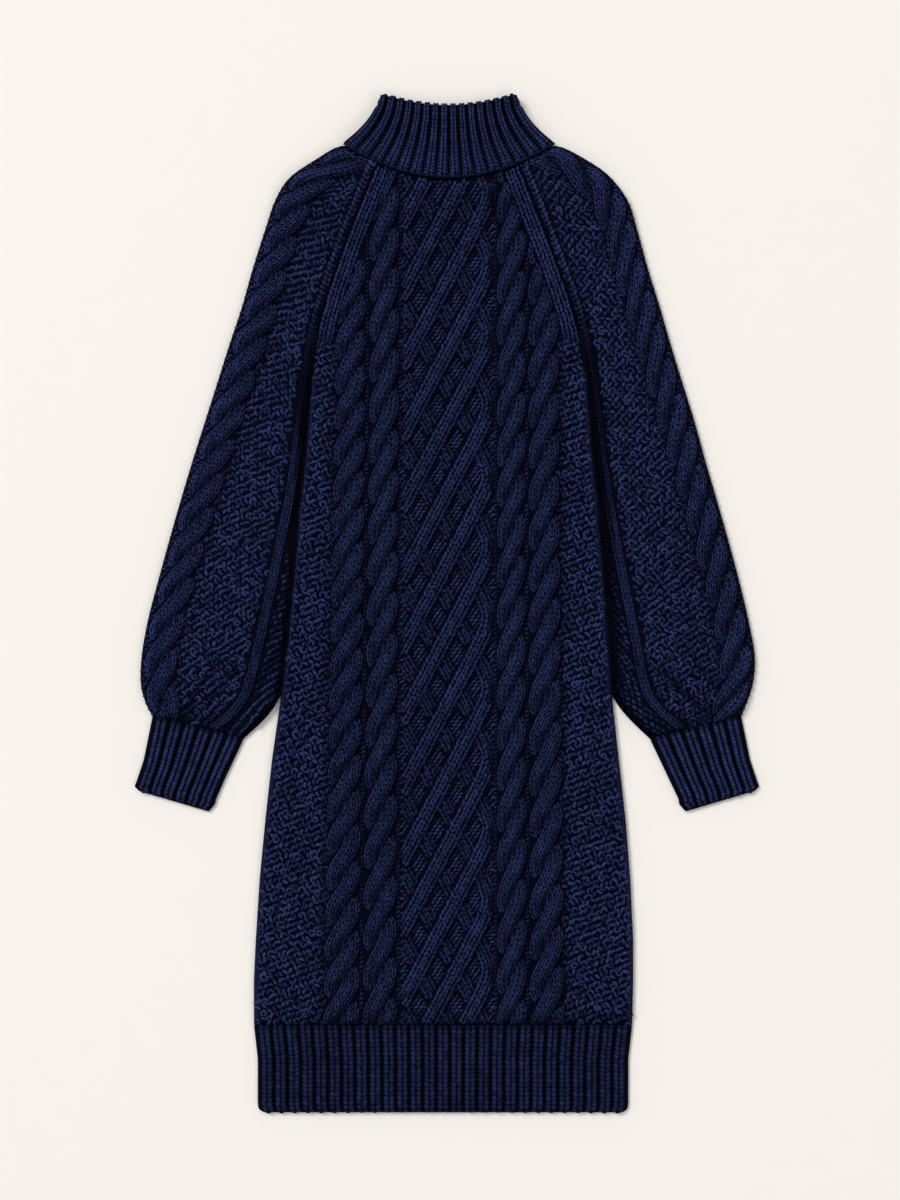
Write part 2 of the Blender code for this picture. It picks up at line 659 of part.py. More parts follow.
def make_collar():
    """A ribbed tube turned down once: the stand inside, the flap outside, the crest on top."""
    outer, inner = [], []
    columns = COLLAR_RIBS * COLUMNS_PER_RIB
    kink = NECK_FLAT / NECK_HALF
    front_shares = [-1 + 2 * c / columns for c in range(columns + 1)]
    for row in collar_rows():
        on_stand = row.inset > 0
        skin, plain = [], []

        def add(share, side, rib):
            x = NECK_X + share * row.half
            inside_x = NECK_X + share * (row.half + row.inset)
            up = neck_up(x) + SEAM if row.bow is None else row.corner_up - row.bow * (1 - share ** 2)
            near_fold = max(0.0, 1 - (1 - abs(share)) * row.half / COLLAR_ROUND)
            flat = sqrt(1 - near_fold ** 2)
            inner_face = row.front if side > 0 else row.back
            near = inner_face * flat
            far = (inner_face + RIB_WALL * row.squeeze + rib) * flat
            skin.append((x, up, COLLAR_MIDDLE + side * (near if on_stand else far)))
            plain.append((inside_x, up - row.below, COLLAR_MIDDLE + side * (far if on_stand else near)))

        for c, share in enumerate(front_shares):
            add(share, 1, RIB_RISE * row.relief * RIB_PROFILE[c % COLUMNS_PER_RIB])
        edge = 1 - COLLAR_ROUND / row.half
        back_shares = (edge, kink, 0.4, 0.0, -0.4, -kink, -edge)
        for share in back_shares:
            add(share, -1, 0.0)
        outer.append(skin)
        inner.append(plain)
    kept_columns = every(columns + 1, 3) + list(range(columns + 1, len(outer[0])))
    return cloth("collar", outer, inner, list(range(len(outer))), kept_columns, ring=True)


for left_over in list(bpy.data.objects):
    bpy.data.objects.remove(left_over)

make_back()
make_front()
make_sleeve("sleeve_left", SLEEVE_LEFT)
make_sleeve("sleeve_right", SLEEVE_RIGHT)
make_cuff("cuff_left", CUFF_LEFT)
make_cuff("cuff_right", CUFF_RIGHT)
make_hem()
make_collar()
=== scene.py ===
"""The look of a cable-knit roll-neck sweater dress, laid flat on its back.

Metres, +Z up, +Y towards the collar, z = 0 the surface it lies on. "up" is the
distance from the hem's lower edge towards the collar.
"""

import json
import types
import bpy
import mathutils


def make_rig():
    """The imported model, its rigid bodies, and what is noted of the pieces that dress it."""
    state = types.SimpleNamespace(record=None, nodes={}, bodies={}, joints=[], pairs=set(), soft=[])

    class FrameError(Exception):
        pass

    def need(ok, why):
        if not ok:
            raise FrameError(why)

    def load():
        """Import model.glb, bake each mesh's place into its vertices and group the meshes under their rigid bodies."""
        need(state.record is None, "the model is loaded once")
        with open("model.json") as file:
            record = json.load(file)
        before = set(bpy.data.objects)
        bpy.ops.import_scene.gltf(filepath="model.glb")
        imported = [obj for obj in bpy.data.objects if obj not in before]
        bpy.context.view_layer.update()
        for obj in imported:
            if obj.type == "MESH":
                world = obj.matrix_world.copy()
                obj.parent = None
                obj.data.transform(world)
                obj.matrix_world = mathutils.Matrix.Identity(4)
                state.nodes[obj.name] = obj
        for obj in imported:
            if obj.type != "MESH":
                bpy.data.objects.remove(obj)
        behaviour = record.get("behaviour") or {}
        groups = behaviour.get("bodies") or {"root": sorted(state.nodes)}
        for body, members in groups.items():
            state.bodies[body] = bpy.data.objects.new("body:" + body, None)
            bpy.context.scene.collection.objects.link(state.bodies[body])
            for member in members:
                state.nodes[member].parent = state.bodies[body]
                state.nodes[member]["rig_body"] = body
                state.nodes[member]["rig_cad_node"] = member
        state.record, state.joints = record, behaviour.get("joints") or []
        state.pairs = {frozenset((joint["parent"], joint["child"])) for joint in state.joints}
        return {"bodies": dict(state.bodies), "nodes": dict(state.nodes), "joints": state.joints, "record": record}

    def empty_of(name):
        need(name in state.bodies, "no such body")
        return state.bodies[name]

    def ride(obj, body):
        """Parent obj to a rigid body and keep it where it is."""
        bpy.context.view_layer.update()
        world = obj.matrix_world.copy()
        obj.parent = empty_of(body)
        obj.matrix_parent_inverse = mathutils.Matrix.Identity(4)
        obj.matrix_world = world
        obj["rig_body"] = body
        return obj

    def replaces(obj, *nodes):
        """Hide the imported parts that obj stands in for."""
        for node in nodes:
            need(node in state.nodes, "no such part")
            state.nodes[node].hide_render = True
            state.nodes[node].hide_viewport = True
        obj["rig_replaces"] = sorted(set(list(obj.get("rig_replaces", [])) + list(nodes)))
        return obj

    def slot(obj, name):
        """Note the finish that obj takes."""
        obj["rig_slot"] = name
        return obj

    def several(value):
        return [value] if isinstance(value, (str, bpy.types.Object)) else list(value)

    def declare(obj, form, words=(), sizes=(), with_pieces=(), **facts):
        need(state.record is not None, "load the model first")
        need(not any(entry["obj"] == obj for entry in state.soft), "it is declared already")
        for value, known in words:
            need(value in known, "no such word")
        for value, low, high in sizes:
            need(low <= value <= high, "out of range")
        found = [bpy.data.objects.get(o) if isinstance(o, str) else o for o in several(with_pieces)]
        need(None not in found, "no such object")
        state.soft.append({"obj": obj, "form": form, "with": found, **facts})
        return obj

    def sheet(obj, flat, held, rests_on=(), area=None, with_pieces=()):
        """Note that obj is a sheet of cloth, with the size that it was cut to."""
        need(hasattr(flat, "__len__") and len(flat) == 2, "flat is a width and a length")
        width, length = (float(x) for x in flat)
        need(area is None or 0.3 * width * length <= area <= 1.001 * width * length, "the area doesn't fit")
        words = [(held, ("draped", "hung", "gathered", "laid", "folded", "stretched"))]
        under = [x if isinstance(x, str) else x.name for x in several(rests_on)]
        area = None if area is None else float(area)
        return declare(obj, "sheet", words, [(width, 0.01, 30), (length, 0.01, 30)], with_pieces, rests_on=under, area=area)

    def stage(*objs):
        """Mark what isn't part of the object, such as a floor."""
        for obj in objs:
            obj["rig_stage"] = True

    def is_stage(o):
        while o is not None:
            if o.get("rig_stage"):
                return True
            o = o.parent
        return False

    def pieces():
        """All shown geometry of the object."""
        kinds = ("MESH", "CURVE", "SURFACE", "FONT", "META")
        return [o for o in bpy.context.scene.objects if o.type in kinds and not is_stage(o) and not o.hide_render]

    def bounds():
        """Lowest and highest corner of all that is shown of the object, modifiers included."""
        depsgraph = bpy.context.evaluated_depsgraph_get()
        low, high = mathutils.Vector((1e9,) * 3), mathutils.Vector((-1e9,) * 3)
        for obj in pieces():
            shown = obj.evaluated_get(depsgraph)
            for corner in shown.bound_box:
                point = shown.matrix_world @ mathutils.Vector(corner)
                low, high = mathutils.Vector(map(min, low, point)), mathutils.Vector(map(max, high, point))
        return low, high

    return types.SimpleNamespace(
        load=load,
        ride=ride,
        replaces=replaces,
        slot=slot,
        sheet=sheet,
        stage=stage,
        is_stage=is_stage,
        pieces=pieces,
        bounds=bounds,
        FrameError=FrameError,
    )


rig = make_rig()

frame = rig.load()
cad_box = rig.bounds()

import json
from math import ceil, floor, pi

import bmesh
import bpy
import numpy as np
from numpy import (
    arange, clip, concatenate, cos, cross, hstack, interp, linspace, maximum, minimum, sign, sin, sqrt,
    stack, where,
)

# --- Back ---
# One knitted panel of plain jersey in chunky navy wool, on which the whole dress lies.
# Its sides are sewn to the front's and its slanting upper edges to the sleeves.

LENGTH = 1.069  # hem to the top of the turned-down collar
WALL = 0.004  # chunky wool jersey
RIB_WALL = 0.003  # ribbed cloth between its ribs
SEAM = 0.0004  # gap between two pieces
EDGE_ROUND = 0.009  # width of a rounded edge
HEM_TOP = 0.092
ARMPIT_UP = 0.801
NECK_UP = 0.999  # where collar and body meet
NECK_LIFT = RIB_WALL + SEAM

BODY_EDGES = np.array([  # up, left, right
    # raglan lines
    (1.013, -0.066, 0.068), (0.988, -0.0765, 0.078), (0.959, -0.0885, 0.0895), (0.938, -0.097, 0.0978),
    (0.906, -0.1095, 0.1105), (0.864, -0.124, 0.126), (0.833, -0.133, 0.1355), (0.801, -0.14, 0.143),
    # side seams
    (0.766, -0.143, 0.148), (0.696, -0.149, 0.153), (0.64, -0.155, 0.159), (0.574, -0.161, 0.164),
    (0.507, -0.167, 0.169), (0.434, -0.175, 0.174), (0.371, -0.184, 0.181), (0.308, -0.191, 0.188),
    (0.245, -0.197, 0.193), (0.182, -0.201, 0.196), (0.14, -0.203, 0.196), (0.092, -0.203, 0.195),
])


def smooth(value, start, end):
    """0 before start, 1 after end and a soft step between."""
    t = clip((value - start) / (end - start), 0, 1)
    return t * t * (3 - 2 * t)


def reading(table, up):
    """The other columns of a table that runs downwards, at these heights."""
    return [interp(-up, -table[:, 0], table[:, k]) for k in range(1, table.shape[1])]


def from_side(x, up):
    """How far in from the nearer side of the body."""
    left, right = reading(BODY_EDGES, up)
    return minimum(x - left, right - x)


def lift(up):
    """How far the body rises onto the collar's back half."""
    return NECK_LIFT * smooth(up, 0.925, 0.975)


def wall(up):
    """The body's wall, thinner where the hem is joined on."""
    return RIB_WALL + (WALL - RIB_WALL) * smooth(up, HEM_TOP, HEM_TOP + 0.02)


def turn_down(distance):
    """1 away from an edge and less towards it, as a wall's outer side rounds over."""
    t = clip(distance / EDGE_ROUND, 0, 1)
    return 0.45 + 0.55 * sqrt(1 - (1 - t) ** 2)


def placed(x, up, z):
    """Points of the row frame."""
    return stack(np.broadcast_arrays(x, up - LENGTH / 2, z), -1)


def mesh_piece(name, slot, material, points, faces, tone, uv):
    """A piece of one mesh. tone is the painted light and shade in its colour, how much light its yarn catches, 0 in
    the depths.
    """
    mesh = bpy.data.meshes.new(name)
    mesh.from_pydata(points, [], [face for group in faces for face in group.tolist()])
    corners = concatenate([group.ravel() for group in faces])
    mesh.uv_layers.new(name="Knit").data.foreach_set("uv", uv[corners].ravel())
    mesh.attributes.new("tone", "FLOAT", "POINT").data.foreach_set("value", tone)
    mesh.shade_smooth()
    mesh.materials.append(material)
    piece = bpy.data.objects.new(name, mesh)
    bpy.context.scene.collection.objects.link(piece)
    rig.ride(piece, "root")
    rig.slot(piece, slot)
    return piece


def run(points, axis=0):
    """Distance from the first point to each one along an axis of a grid."""
    length = np.linalg.norm(np.diff(points, axis=axis), axis=-1)
    start = np.zeros_like(np.take(length, [0], axis=axis))
    return concatenate([start, np.cumsum(length, axis=axis)], axis=axis)


def grid_uv(points):
    """Distances across and along the cloth for a grid of points."""
    across, along = run(points, 1), run(points)
    middle = points.shape[1] // 2
    return stack([across - across[:, [middle]], np.broadcast_to(along[:, [middle]], across.shape)], -1)


def cut_of(grid, ring):
    """Width, length and area of a piece's cut, from the plain inner side of its cloth."""
    width = run(hstack([grid, grid[:, :1]]) if ring else grid, 1)[:, -1]
    length = run(grid).mean(1)
    return {"flat": (float(width.max()), float(length[-1])), "area": float(np.trapz(width, length))}


def cloth(name, node, slot, skin, lining, kept, tones, ring=False):
    """A closed wall of cloth in place of a node, from grids of points on both sides, and its cut.

    The lining is sparser: kept are the columns that it has. tones are the tone
    of skin and lining. A ring closes on its first column.
    """
    lining = lining[:, kept]
    rows, columns = skin.shape[:2]
    outside = arange(rows * columns).reshape(rows, columns)
    inside = rows * columns + arange(rows * len(kept)).reshape(rows, len(kept))
    if ring:
        outside, inside = (hstack([grid, grid[:, :1]]) for grid in (outside, inside))
        kept = [*kept, columns]

    def squares(grid):
        corners = (grid[:-1, :-1], grid[:-1, 1:], grid[1:, 1:], grid[1:, :-1])
        return stack(corners, -1).reshape(-1, 4)

    quads = [squares(outside), squares(inside)[:, ::-1]]
    if not ring:
        quads.append(squares(stack([inside[:, 0], outside[:, 0]], 1)))
        quads.append(squares(stack([outside[:, -1], inside[:, -1]], 1)))
    fans = []
    for edge, back, turn in ((outside[0], inside[0], 1), (outside[-1], inside[-1], -1)):
        for k, (first, last) in enumerate(zip(kept, kept[1:])):
            middle = (first + last) // 2
            for i in range(first, last):
                fans.append((edge[i + 1], edge[i], back[k if i < middle else k + 1])[::turn])
            fans.append((edge[middle], back[k], back[k + 1])[::turn])
    sides = (skin, lining)
    points = concatenate([side.reshape(-1, 3) for side in sides])
    tone = concatenate([np.broadcast_to(tone, side.shape[:2]).ravel() for tone, side in zip(tones, sides)])
    uv = concatenate([grid_uv(side).reshape(-1, 2) for side in sides])
    faces = [concatenate(quads), np.array(fans)]
    piece = mesh_piece(name, slot, jersey_wool, points, faces, tone, uv)
    shape = bmesh.new()
    shape.from_mesh(piece.data)
    bmesh.ops.recalc_face_normals(shape, faces=shape.faces)
    if shape.calc_volume(signed=True) < 0:
        bmesh.ops.reverse_faces(shape, faces=shape.faces)
    shape.to_mesh(piece.data)
    shape.free()
    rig.replaces(piece, node)
    return piece, cut_of(lining, ring)


class Value:
    """A socket that arithmetic adds Math nodes to."""

    def __init__(self, math, socket):
        self.math, self.socket = math, socket

    def __add__(self, other):
        return self.math("ADD", self, other)

    def __sub__(self, other):
        return self.math("SUBTRACT", self, other)

    def __rsub__(self, other):
        return self.math("SUBTRACT", other, self)

    def __mul__(self, other):
        return self.math("MULTIPLY", self, other)

    def __pow__(self, other):
        return self.math("POWER", self, other)

    __radd__ = __add__
    __rmul__ = __mul__


class Material:
    """A material and what adds nodes to it."""

    def __init__(self, name):
        self.made = bpy.data.materials.new(name)
        self.made.use_nodes = True
        self.surface = self.made.node_tree.nodes["Principled BSDF"].inputs

    def feed(self, sockets, values):
        for socket, value in values.items():
            if isinstance(value, Value):
                self.made.node_tree.links.new(value.socket, sockets[socket])
            else:
                sockets[socket].default_value = value

    def add(self, kind, settings, values, out=0):
        """A node: its settings first, then the values or links of its sockets."""
        node = self.made.node_tree.nodes.new("ShaderNode" + kind)
        for setting, value in settings.items():
            setattr(node, setting, value)
        self.feed(node.inputs, values)
        return Value(self.math, node.outputs[out])

    def math(self, operation, *values):
        return self.add("Math", {"operation": operation}, dict(enumerate(values)))

    def mix(self, share, first, second):
        """A colour between two colours."""
        return self.add("Mix", {"data_type": "RGBA"}, {0: share, 6: first, 7: second}, 2)

    def noise(self, scale, detail):
        spot = self.add("TexCoord", {}, {}, 3)
        return self.add("TexNoise", {}, {"Vector": spot, "Scale": scale, "Detail": detail})

    def knit(self, axis):
        """The place across the cloth or yarn for axis 0, and along it for axis 1."""
        return self.add("SeparateXYZ", {}, {0: self.add("UVMap", {"uv_map": "Knit"}, {})}, axis)


PAINTED_SHADE_NAVY = (0.0003, 0.0005, 0.0028, 1)  # painted shade between the stitches
NAVY = (0.03, 0.041, 0.135, 1)  # on their crests


def wool(name, pattern, depth):
    """Matt navy wool. pattern gives the height of its stitches, 0 to 1, over the cloth."""
    material = Material(name)
    fuzz = material.noise(900, 2)
    dyed = material.noise(70, 3)
    cloudy = material.noise(9, 2)
    # tone brings in the painted light and shade set on the mesh, with its random tone
    tone = material.add("Attribute", {"attribute_name": "tone"}, {}, 2)
    height = pattern(material)
    # painted shade, darker in the hollows of the stitch pattern; fuzz, dyed and cloudy vary the wool's own tone at
    # random
    light = tone * (0.25 + 0.75 * height) * (0.7 + 0.6 * fuzz) * (0.8 + 0.4 * dyed) * (0.8 + 0.4 * cloudy)
    relief = material.add("Bump", {}, {"Strength": 1, "Distance": depth, "Height": height + 0.3 * fuzz})
    material.feed(material.surface, {
        "Base Color": material.mix(light, PAINTED_SHADE_NAVY, NAVY),
        "Roughness": 0.75 + 0.2 * fuzz,
        "Normal": relief,
        "Sheen Weight": 0.003,
        "Sheen Roughness": 0.5,
        "Sheen Tint": (0.35, 0.42, 0.8, 1),
        "Specular IOR Level": 0.02,
    })
    return material.made


STITCH_WIDTH = 0.007
STITCH_ROW = 0.0048


def jersey(material):
    """A plain knitted face: columns of small Vs."""
    across = material.knit(0) * (1 / STITCH_WIDTH)
    along = material.knit(1) * (1 / STITCH_ROW)
    from_middle = material.math("ABSOLUTE", material.math("FRACT", across) - 0.5)
    leg = material.math("SINE", from_middle * (2 * pi))
    row = material.math("FRACT", along - from_middle * 1.6)
    return (leg ** 0.5) * (0.3 + 0.7 * material.math("SINE", row * pi) ** 0.6)


def body_grid(step, columns):
    """Places over a body panel, rows running up from the hem and columns to the right."""
    low, high = HEM_TOP + SEAM, NECK_UP - SEAM
    up = linspace(low, high, round((high - low) / step) + 1)[:, None]
    left, right = reading(BODY_EDGES, up)
    return left + (right - left) * linspace(0, 1, columns + 1), up


jersey_wool = wool("jersey_wool", jersey, 0.0016)
x, up = body_grid(step=0.006, columns=24)
skin = placed(x, up, lift(up) + wall(up) * (1 - turn_down(from_side(x, up))))
lining = placed(x, up, lift(up) + wall(up))
back, cut = cloth("back", "back_panel", "wool_body", skin, lining, [0, 2, 12, 22, 24], (0.75, 0.6))
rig.sheet(back, held="laid", **cut)

# --- Front ground ---
# The front lies on the back, one knitted panel whose cables stand up from a ground of
# purl stitches. This is its cloth; the yarn of its cables and bumps follows it below.

SINK = 0.0014  # from the cloth's crests down to the middle of its yarn
RAGLAN_ROUND = 0.0036
RAGLAN_BAND = 0.017
RIB_RISE = 0.0025
CABLE_RISE = 0.005
LATTICE_RISE = 0.0045
UNDER_RISE = 0.0025  # of the strands beneath
ROPE_HALF = 0.0165  # half the width of a rope
ROPE_SWING = 0.52  # of a strand's middle to each side, as a share of it
ROPE_REACH = 0.52  # half a strand's width, as a share of it
ROPE_LOBE = 0.62  # periods from a crossing to where its strand lies outermost
LATTICE_PITCH = 0.0742  # along the body
LATTICE_TURN_UP = 0.744  # a strand turns at the right edge here
LATTICE_SLOPE = 1.88
STRAND_WIDTH = 0.0195
SIDE_PAINTED_LIGHT = 0.4  # painted light on the cloth where it rounds over at the side seams

CHART = np.array([  # up, then left and right of ropes a and b, the lattice, ropes c and d
    (0.77, -0.117, -0.086, -0.081, -0.051, -0.047, 0.049, 0.053, 0.082, 0.086, 0.117),
    (0.497, -0.122, -0.088, -0.084, -0.052, -0.048, 0.049, 0.053, 0.082, 0.086, 0.119),
    (0.287, -0.126, -0.091, -0.087, -0.053, -0.049, 0.049, 0.053, 0.083, 0.087, 0.121),
    (0.098, -0.13, -0.092, -0.088, -0.053, -0.049, 0.049, 0.053, 0.083, 0.087, 0.123),
])
ROPES = {  # first column in a reading of the chart, pitch, a crossing's height
    "a": (0, 0.0372, 0.714),
    "b": (2, 0.0426, 0.721),
    "c": (6, 0.0426, 0.718),
    "d": (8, 0.043, 0.759),
}

NECK_X = 0.002
FLAP_TOP_HALF = 0.0745
FLAP_HEM_HALF = 0.112
FLAP_TOP_UP = 1.069  # at the corners
FLAP_TOP_DIP = 0.01
FLAP_HEM_UP = 1.018
FLAP_HEM_DIP = 0.036
FLAP_FADE = (0.0005, 0.006)  # where the relief rises from 0 below the collar


def below_flap(x, up):
    """How far below the lower edge of the turned-down collar."""
    side = minimum(1, abs(x - NECK_X) / FLAP_HEM_HALF)
    return FLAP_HEM_UP - FLAP_HEM_DIP * (1 - side ** 2) - up


def strand(u, pitch):
    """A rope's strand at u above its crossing: its middle between -1 and 1, half width and crest."""
    t = clip(u / pitch, -1, 1)
    outward = pi / 2 * t / ROPE_LOBE
    inward = pi / 2 * (abs(t) - ROPE_LOBE) / (1 - ROPE_LOBE)
    over = abs(t) < ROPE_LOBE
    middle = ROPE_SWING * where(over, sin(outward), sign(t) * cos(inward))
    turning = where(over, cos(outward) / ROPE_LOBE, sin(inward) / (1 - ROPE_LOBE))
    lean = ROPE_SWING * ROPE_HALF * pi / 2 / pitch * turning
    return middle, ROPE_REACH * sqrt(1 + lean ** 2), cos(pi / 2 * t) ** 0.9


def one_strand(across, u, pitch):
    """Height of one strand, 0 to 1."""
    middle, reach, high = strand(u, pitch)
    return high * sqrt(maximum(0, 1 - ((across - middle) / reach) ** 2))


def rope_height(across, up, pitch, first_up):
    """A two-strand rope, 0 to 1, whose strands cross on top as they climb to the right."""
    u = (up - first_up) - np.floor((up - first_up) / pitch) * pitch
    return maximum(one_strand(across, u, pitch), one_strand(across, u - pitch, pitch))


def body_rope_height(x, up, name):
    column, pitch, first_up = ROPES[name]
    left, right = reading(CHART, up)[column:column + 2]
    return rope_height((2 * x - left - right) / (right - left), up, pitch, first_up)


def strand_height(turns):
    """Half-round section of a lattice strand, from how many strands along the point lies."""
    distance = abs(turns - np.round(turns)) * LATTICE_PITCH / sqrt(1 + LATTICE_SLOPE ** 2)
    return sqrt(maximum(0, 1 - (2 * distance / STRAND_WIDTH) ** 2))


def lattice(x, up):
    """Heights of the lattice's upper and lower strands, and 0 outside it."""
    chart = reading(CHART, up)
    left, right = chart[4:6]
    climb = (x - right) * LATTICE_SLOPE
    over = strand_height((up - LATTICE_TURN_UP - climb) / LATTICE_PITCH)
    under = strand_height((up - LATTICE_TURN_UP + climb) / LATTICE_PITCH)
    inside = smooth(minimum(x - left, right - x), 0, 0.006)
    return LATTICE_RISE * over * inside, UNDER_RISE * under * inside


def front_relief(x, up):
    """What stands up from the ground of the front."""
    height = maximum(*lattice(x, up))
    for name in ROPES:
        height = maximum(height, CABLE_RISE * body_rope_height(x, up, name))
    from_edge = from_side(x, up)
    in_band = 1 - smooth(from_edge, RAGLAN_BAND, RAGLAN_BAND + 0.004)
    in_band = in_band * smooth(up, ARMPIT_UP, ARMPIT_UP + 0.03)
    band = RIB_RISE * abs(sin(2 * pi * clip(from_edge, 0, RAGLAN_BAND) / RAGLAN_BAND))
    height = height + (band - height) * in_band
    return height * smooth(up, HEM_TOP + SEAM, HEM_TOP + 0.006) * smooth(below_flap(x, up), *FLAP_FADE)


def front_top(x, up):
    """Where the middle of the front's yarn lies."""
    rounding = RAGLAN_ROUND * smooth(up, ARMPIT_UP - 0.02, ARMPIT_UP + 0.02)
    turned = turn_down(maximum(0, from_side(x, up)) + rounding)
    z = wall(up) * (1 + turned) + SEAM + lift(up) + front_relief(x, up)
    return placed(x, up, z - SINK)


x, up = body_grid(step=0.0042, columns=116)
lining = placed(x, up, wall(up) + SEAM + lift(up))
kept = [0, 3, 20, 58, 96, 113, 116]
# painted shade: the ground beneath the yarn is dark, with painted light where it rounds over at the sides; the lining
# takes a plain tone
at_side = (1 - smooth(from_side(x, up), 0.002, 0.007)) * smooth(ARMPIT_UP - up, 0, 0.03)
tones = (0.06 + SIDE_PAINTED_LIGHT * at_side, 0.6)
front, front_cut = cloth("front", "front_panel", "wool_body", front_top(x, up), lining, kept, tones)

# --- Yarn of the rope cables ---
# Each rope is two strands of knit stitches that cross over each other. A stitch shows as
# a V of two plump legs of yarn, and the Vs run in columns along the strands.


def yarn_shape(segments, rings, size=(1, 1, 1), bend=0, low=-0.15, high=0.45):
    """Points, triangles, tones and UV of a plump length of yarn along X, bent round by an angle.

    Its sides take painted shade below low and painted light above high, as shares of its height.
    """
    bpy.ops.object.select_all(action="DESELECT")
    bpy.ops.mesh.primitive_uv_sphere_add(segments=segments, ring_count=rings, radius=0.5)
    bead = bpy.context.object
    bpy.ops.object.mode_set(mode="EDIT")
    bpy.ops.transform.rotate(value=pi / 2, orient_axis="Y", center_override=(0, 0, 0))
    bpy.ops.mesh.quads_convert_to_tris()
    bpy.ops.object.mode_set(mode="OBJECT")
    points = np.array([corner.co for corner in bead.data.vertices])
    faces = np.array([face.vertices for face in bead.data.polygons])
    bpy.data.objects.remove(bead)
    uv = points[:, :2] + 0.5
    # painted shade on the sides of the yarn, painted light on its top
    crest = 0.03 + 0.97 * smooth(points[:, 2], low, high)
    angle = points[:, 0] * bend
    points = points * size
    if bend:
        radius = size[0] / bend
        out = radius + points[:, 1]
        points = stack([out * sin(angle), out * cos(angle) - radius, points[:, 2]], 1)
    return points, faces, crest, uv


LEG = yarn_shape(5, 4, bend=0.5)
rng = np.random.default_rng(12)
OPEN_RISE = 0.0009  # painted shade: cloth that rises this much all round leaves a third of the light in the colour


def unit(vectors):
    return vectors / np.linalg.norm(vectors, axis=-1, keepdims=True)


def seat(surface, a, b):
    """Points of a surface, its normals, and the painted light left to them past what rises nearby: painted shade and
    shadow, most from rises towards the key light.
    """
    step = 0.0008
    across = surface(a + step, b) - surface(a - step, b)
    along = surface(a, b + step) - surface(a, b - step)
    normal = unit(cross(across, along))
    spot = surface(a, b)
    a_metre, b_metre = (2 * step / np.linalg.norm(way, axis=1) for way in (across, along))
    rise = 0
    for reach in (0.003, 0.0055):
        for angle in arange(8) * pi / 4:
            near = surface(a + reach * cos(angle) * a_metre, b + reach * sin(angle) * b_metre)
            # painted shadow: rises on the key light's side darken the colour most
            towards_key = 1 + 0.8 * cos(angle - 0.75 * pi)
            rise = rise + maximum(0, near[:, 2] - spot[:, 2]) * towards_key / 16
    return spot, normal * sign(normal[:, 2].mean()), np.exp(-rise / OPEN_RISE)


def copies(shape, spot, forward, normal, size, shade):
    """A copy of a yarn shape at each spot: points, triangles, tones and UV."""
    points, faces, crest, uv = shape
    forward = unit(forward)
    normal = unit(normal - forward * (normal * forward).sum(1, keepdims=True))
    axes = stack([forward, cross(normal, forward), normal], 1)
    sizes = stack(np.broadcast_arrays(*size, spot[:, 0])[:3], 1)
    made = spot[:, None] + np.einsum("pk,nk,nkc->npc", points, sizes, axes)
    count = len(spot)
    triangles = faces + arange(count)[:, None, None] * len(points)
    # painted light and shade of the shape and the spot, times a random tone for each copy
    tones = crest * np.broadcast_to(shade, count)[:, None] * rng.uniform(0.62, 1.18, (count, 1))
    return made.reshape(-1, 3), triangles.reshape(-1, 3), tones.ravel(), np.tile(uv, (count, 1))


def yarn_piece(name, parts, slot="wool_body"):
    """One piece of all these copies, in the yarn's wool."""
    starts = np.cumsum([0] + [len(part[0]) for part in parts])
    faces = concatenate([part[1] + start for part, start in zip(parts, starts)])
    points, tone, uv = (concatenate([part[k] for part in parts]) for k in (0, 2, 3))
    return mesh_piece(name, slot, yarn_wool, points, [faces], tone, uv)


def plied(material):
    """The plies that wind along a length of yarn."""
    return 0.75 + 0.25 * material.math("SINE", material.knit(0) * 19 + material.knit(1) * 8)


yarn_wool = wool("yarn_wool", plied, 0.0005)


def wale(surface, a, b, width=STITCH_WIDTH, row=STITCH_ROW, slant=0.3, apart=0.26, height=0.0036,
         shade=1, keep=None, uneven=1):
    """A column of V stitches along a path on a surface, opening the way the path runs."""
    path = surface(a, b)
    arc = run(path)
    count = max(1, round(arc[-1] / row))
    at = (arange(count) + 0.5) * arc[-1] / count
    a_at, b_at = interp(at, arc, a), interp(at, arc, b)
    wide, light = (interp(at, arc, np.broadcast_to(value, a.shape)) for value in (width, shade))
    ahead = np.gradient(path, arc, axis=0)
    forward = unit(stack([interp(at, arc, ahead[:, k]) for k in range(3)], 1))
    kept = keep(a_at, b_at) if keep else np.ones(count, bool)
    if not kept.any():
        return []
    spot, normal, open_sky = seat(surface, a_at[kept], b_at[kept])
    forward, wide, light = forward[kept], wide[kept, None], light[kept] * open_sky
    right = unit(cross(forward, normal))
    legs = []
    for hand in (-1, 1):
        tilt = slant + uneven * rng.normal(0, 0.15, (len(spot), 1))
        lean = forward * cos(tilt) + right * hand * sin(tilt) - normal * 0.12
        out = normal + right * hand * 0.4
        size = (row * rng.uniform(1.15, 1.5, len(spot)), wide[:, 0] * 0.5, height)
        place = spot + right * hand * wide * apart + uneven * rng.normal(0, 0.00024, spot.shape)
        legs.append(copies(LEG, place, lean, out, size, light))
    return legs


STRAND_GAP = 0.12  # a strand's yarn ends where the next one comes this near its height
ROPE_STITCH = (0.66 * ROPE_REACH * ROPE_HALF, 0.0056, 0.25, 0.25, 0.0032)  # see wale


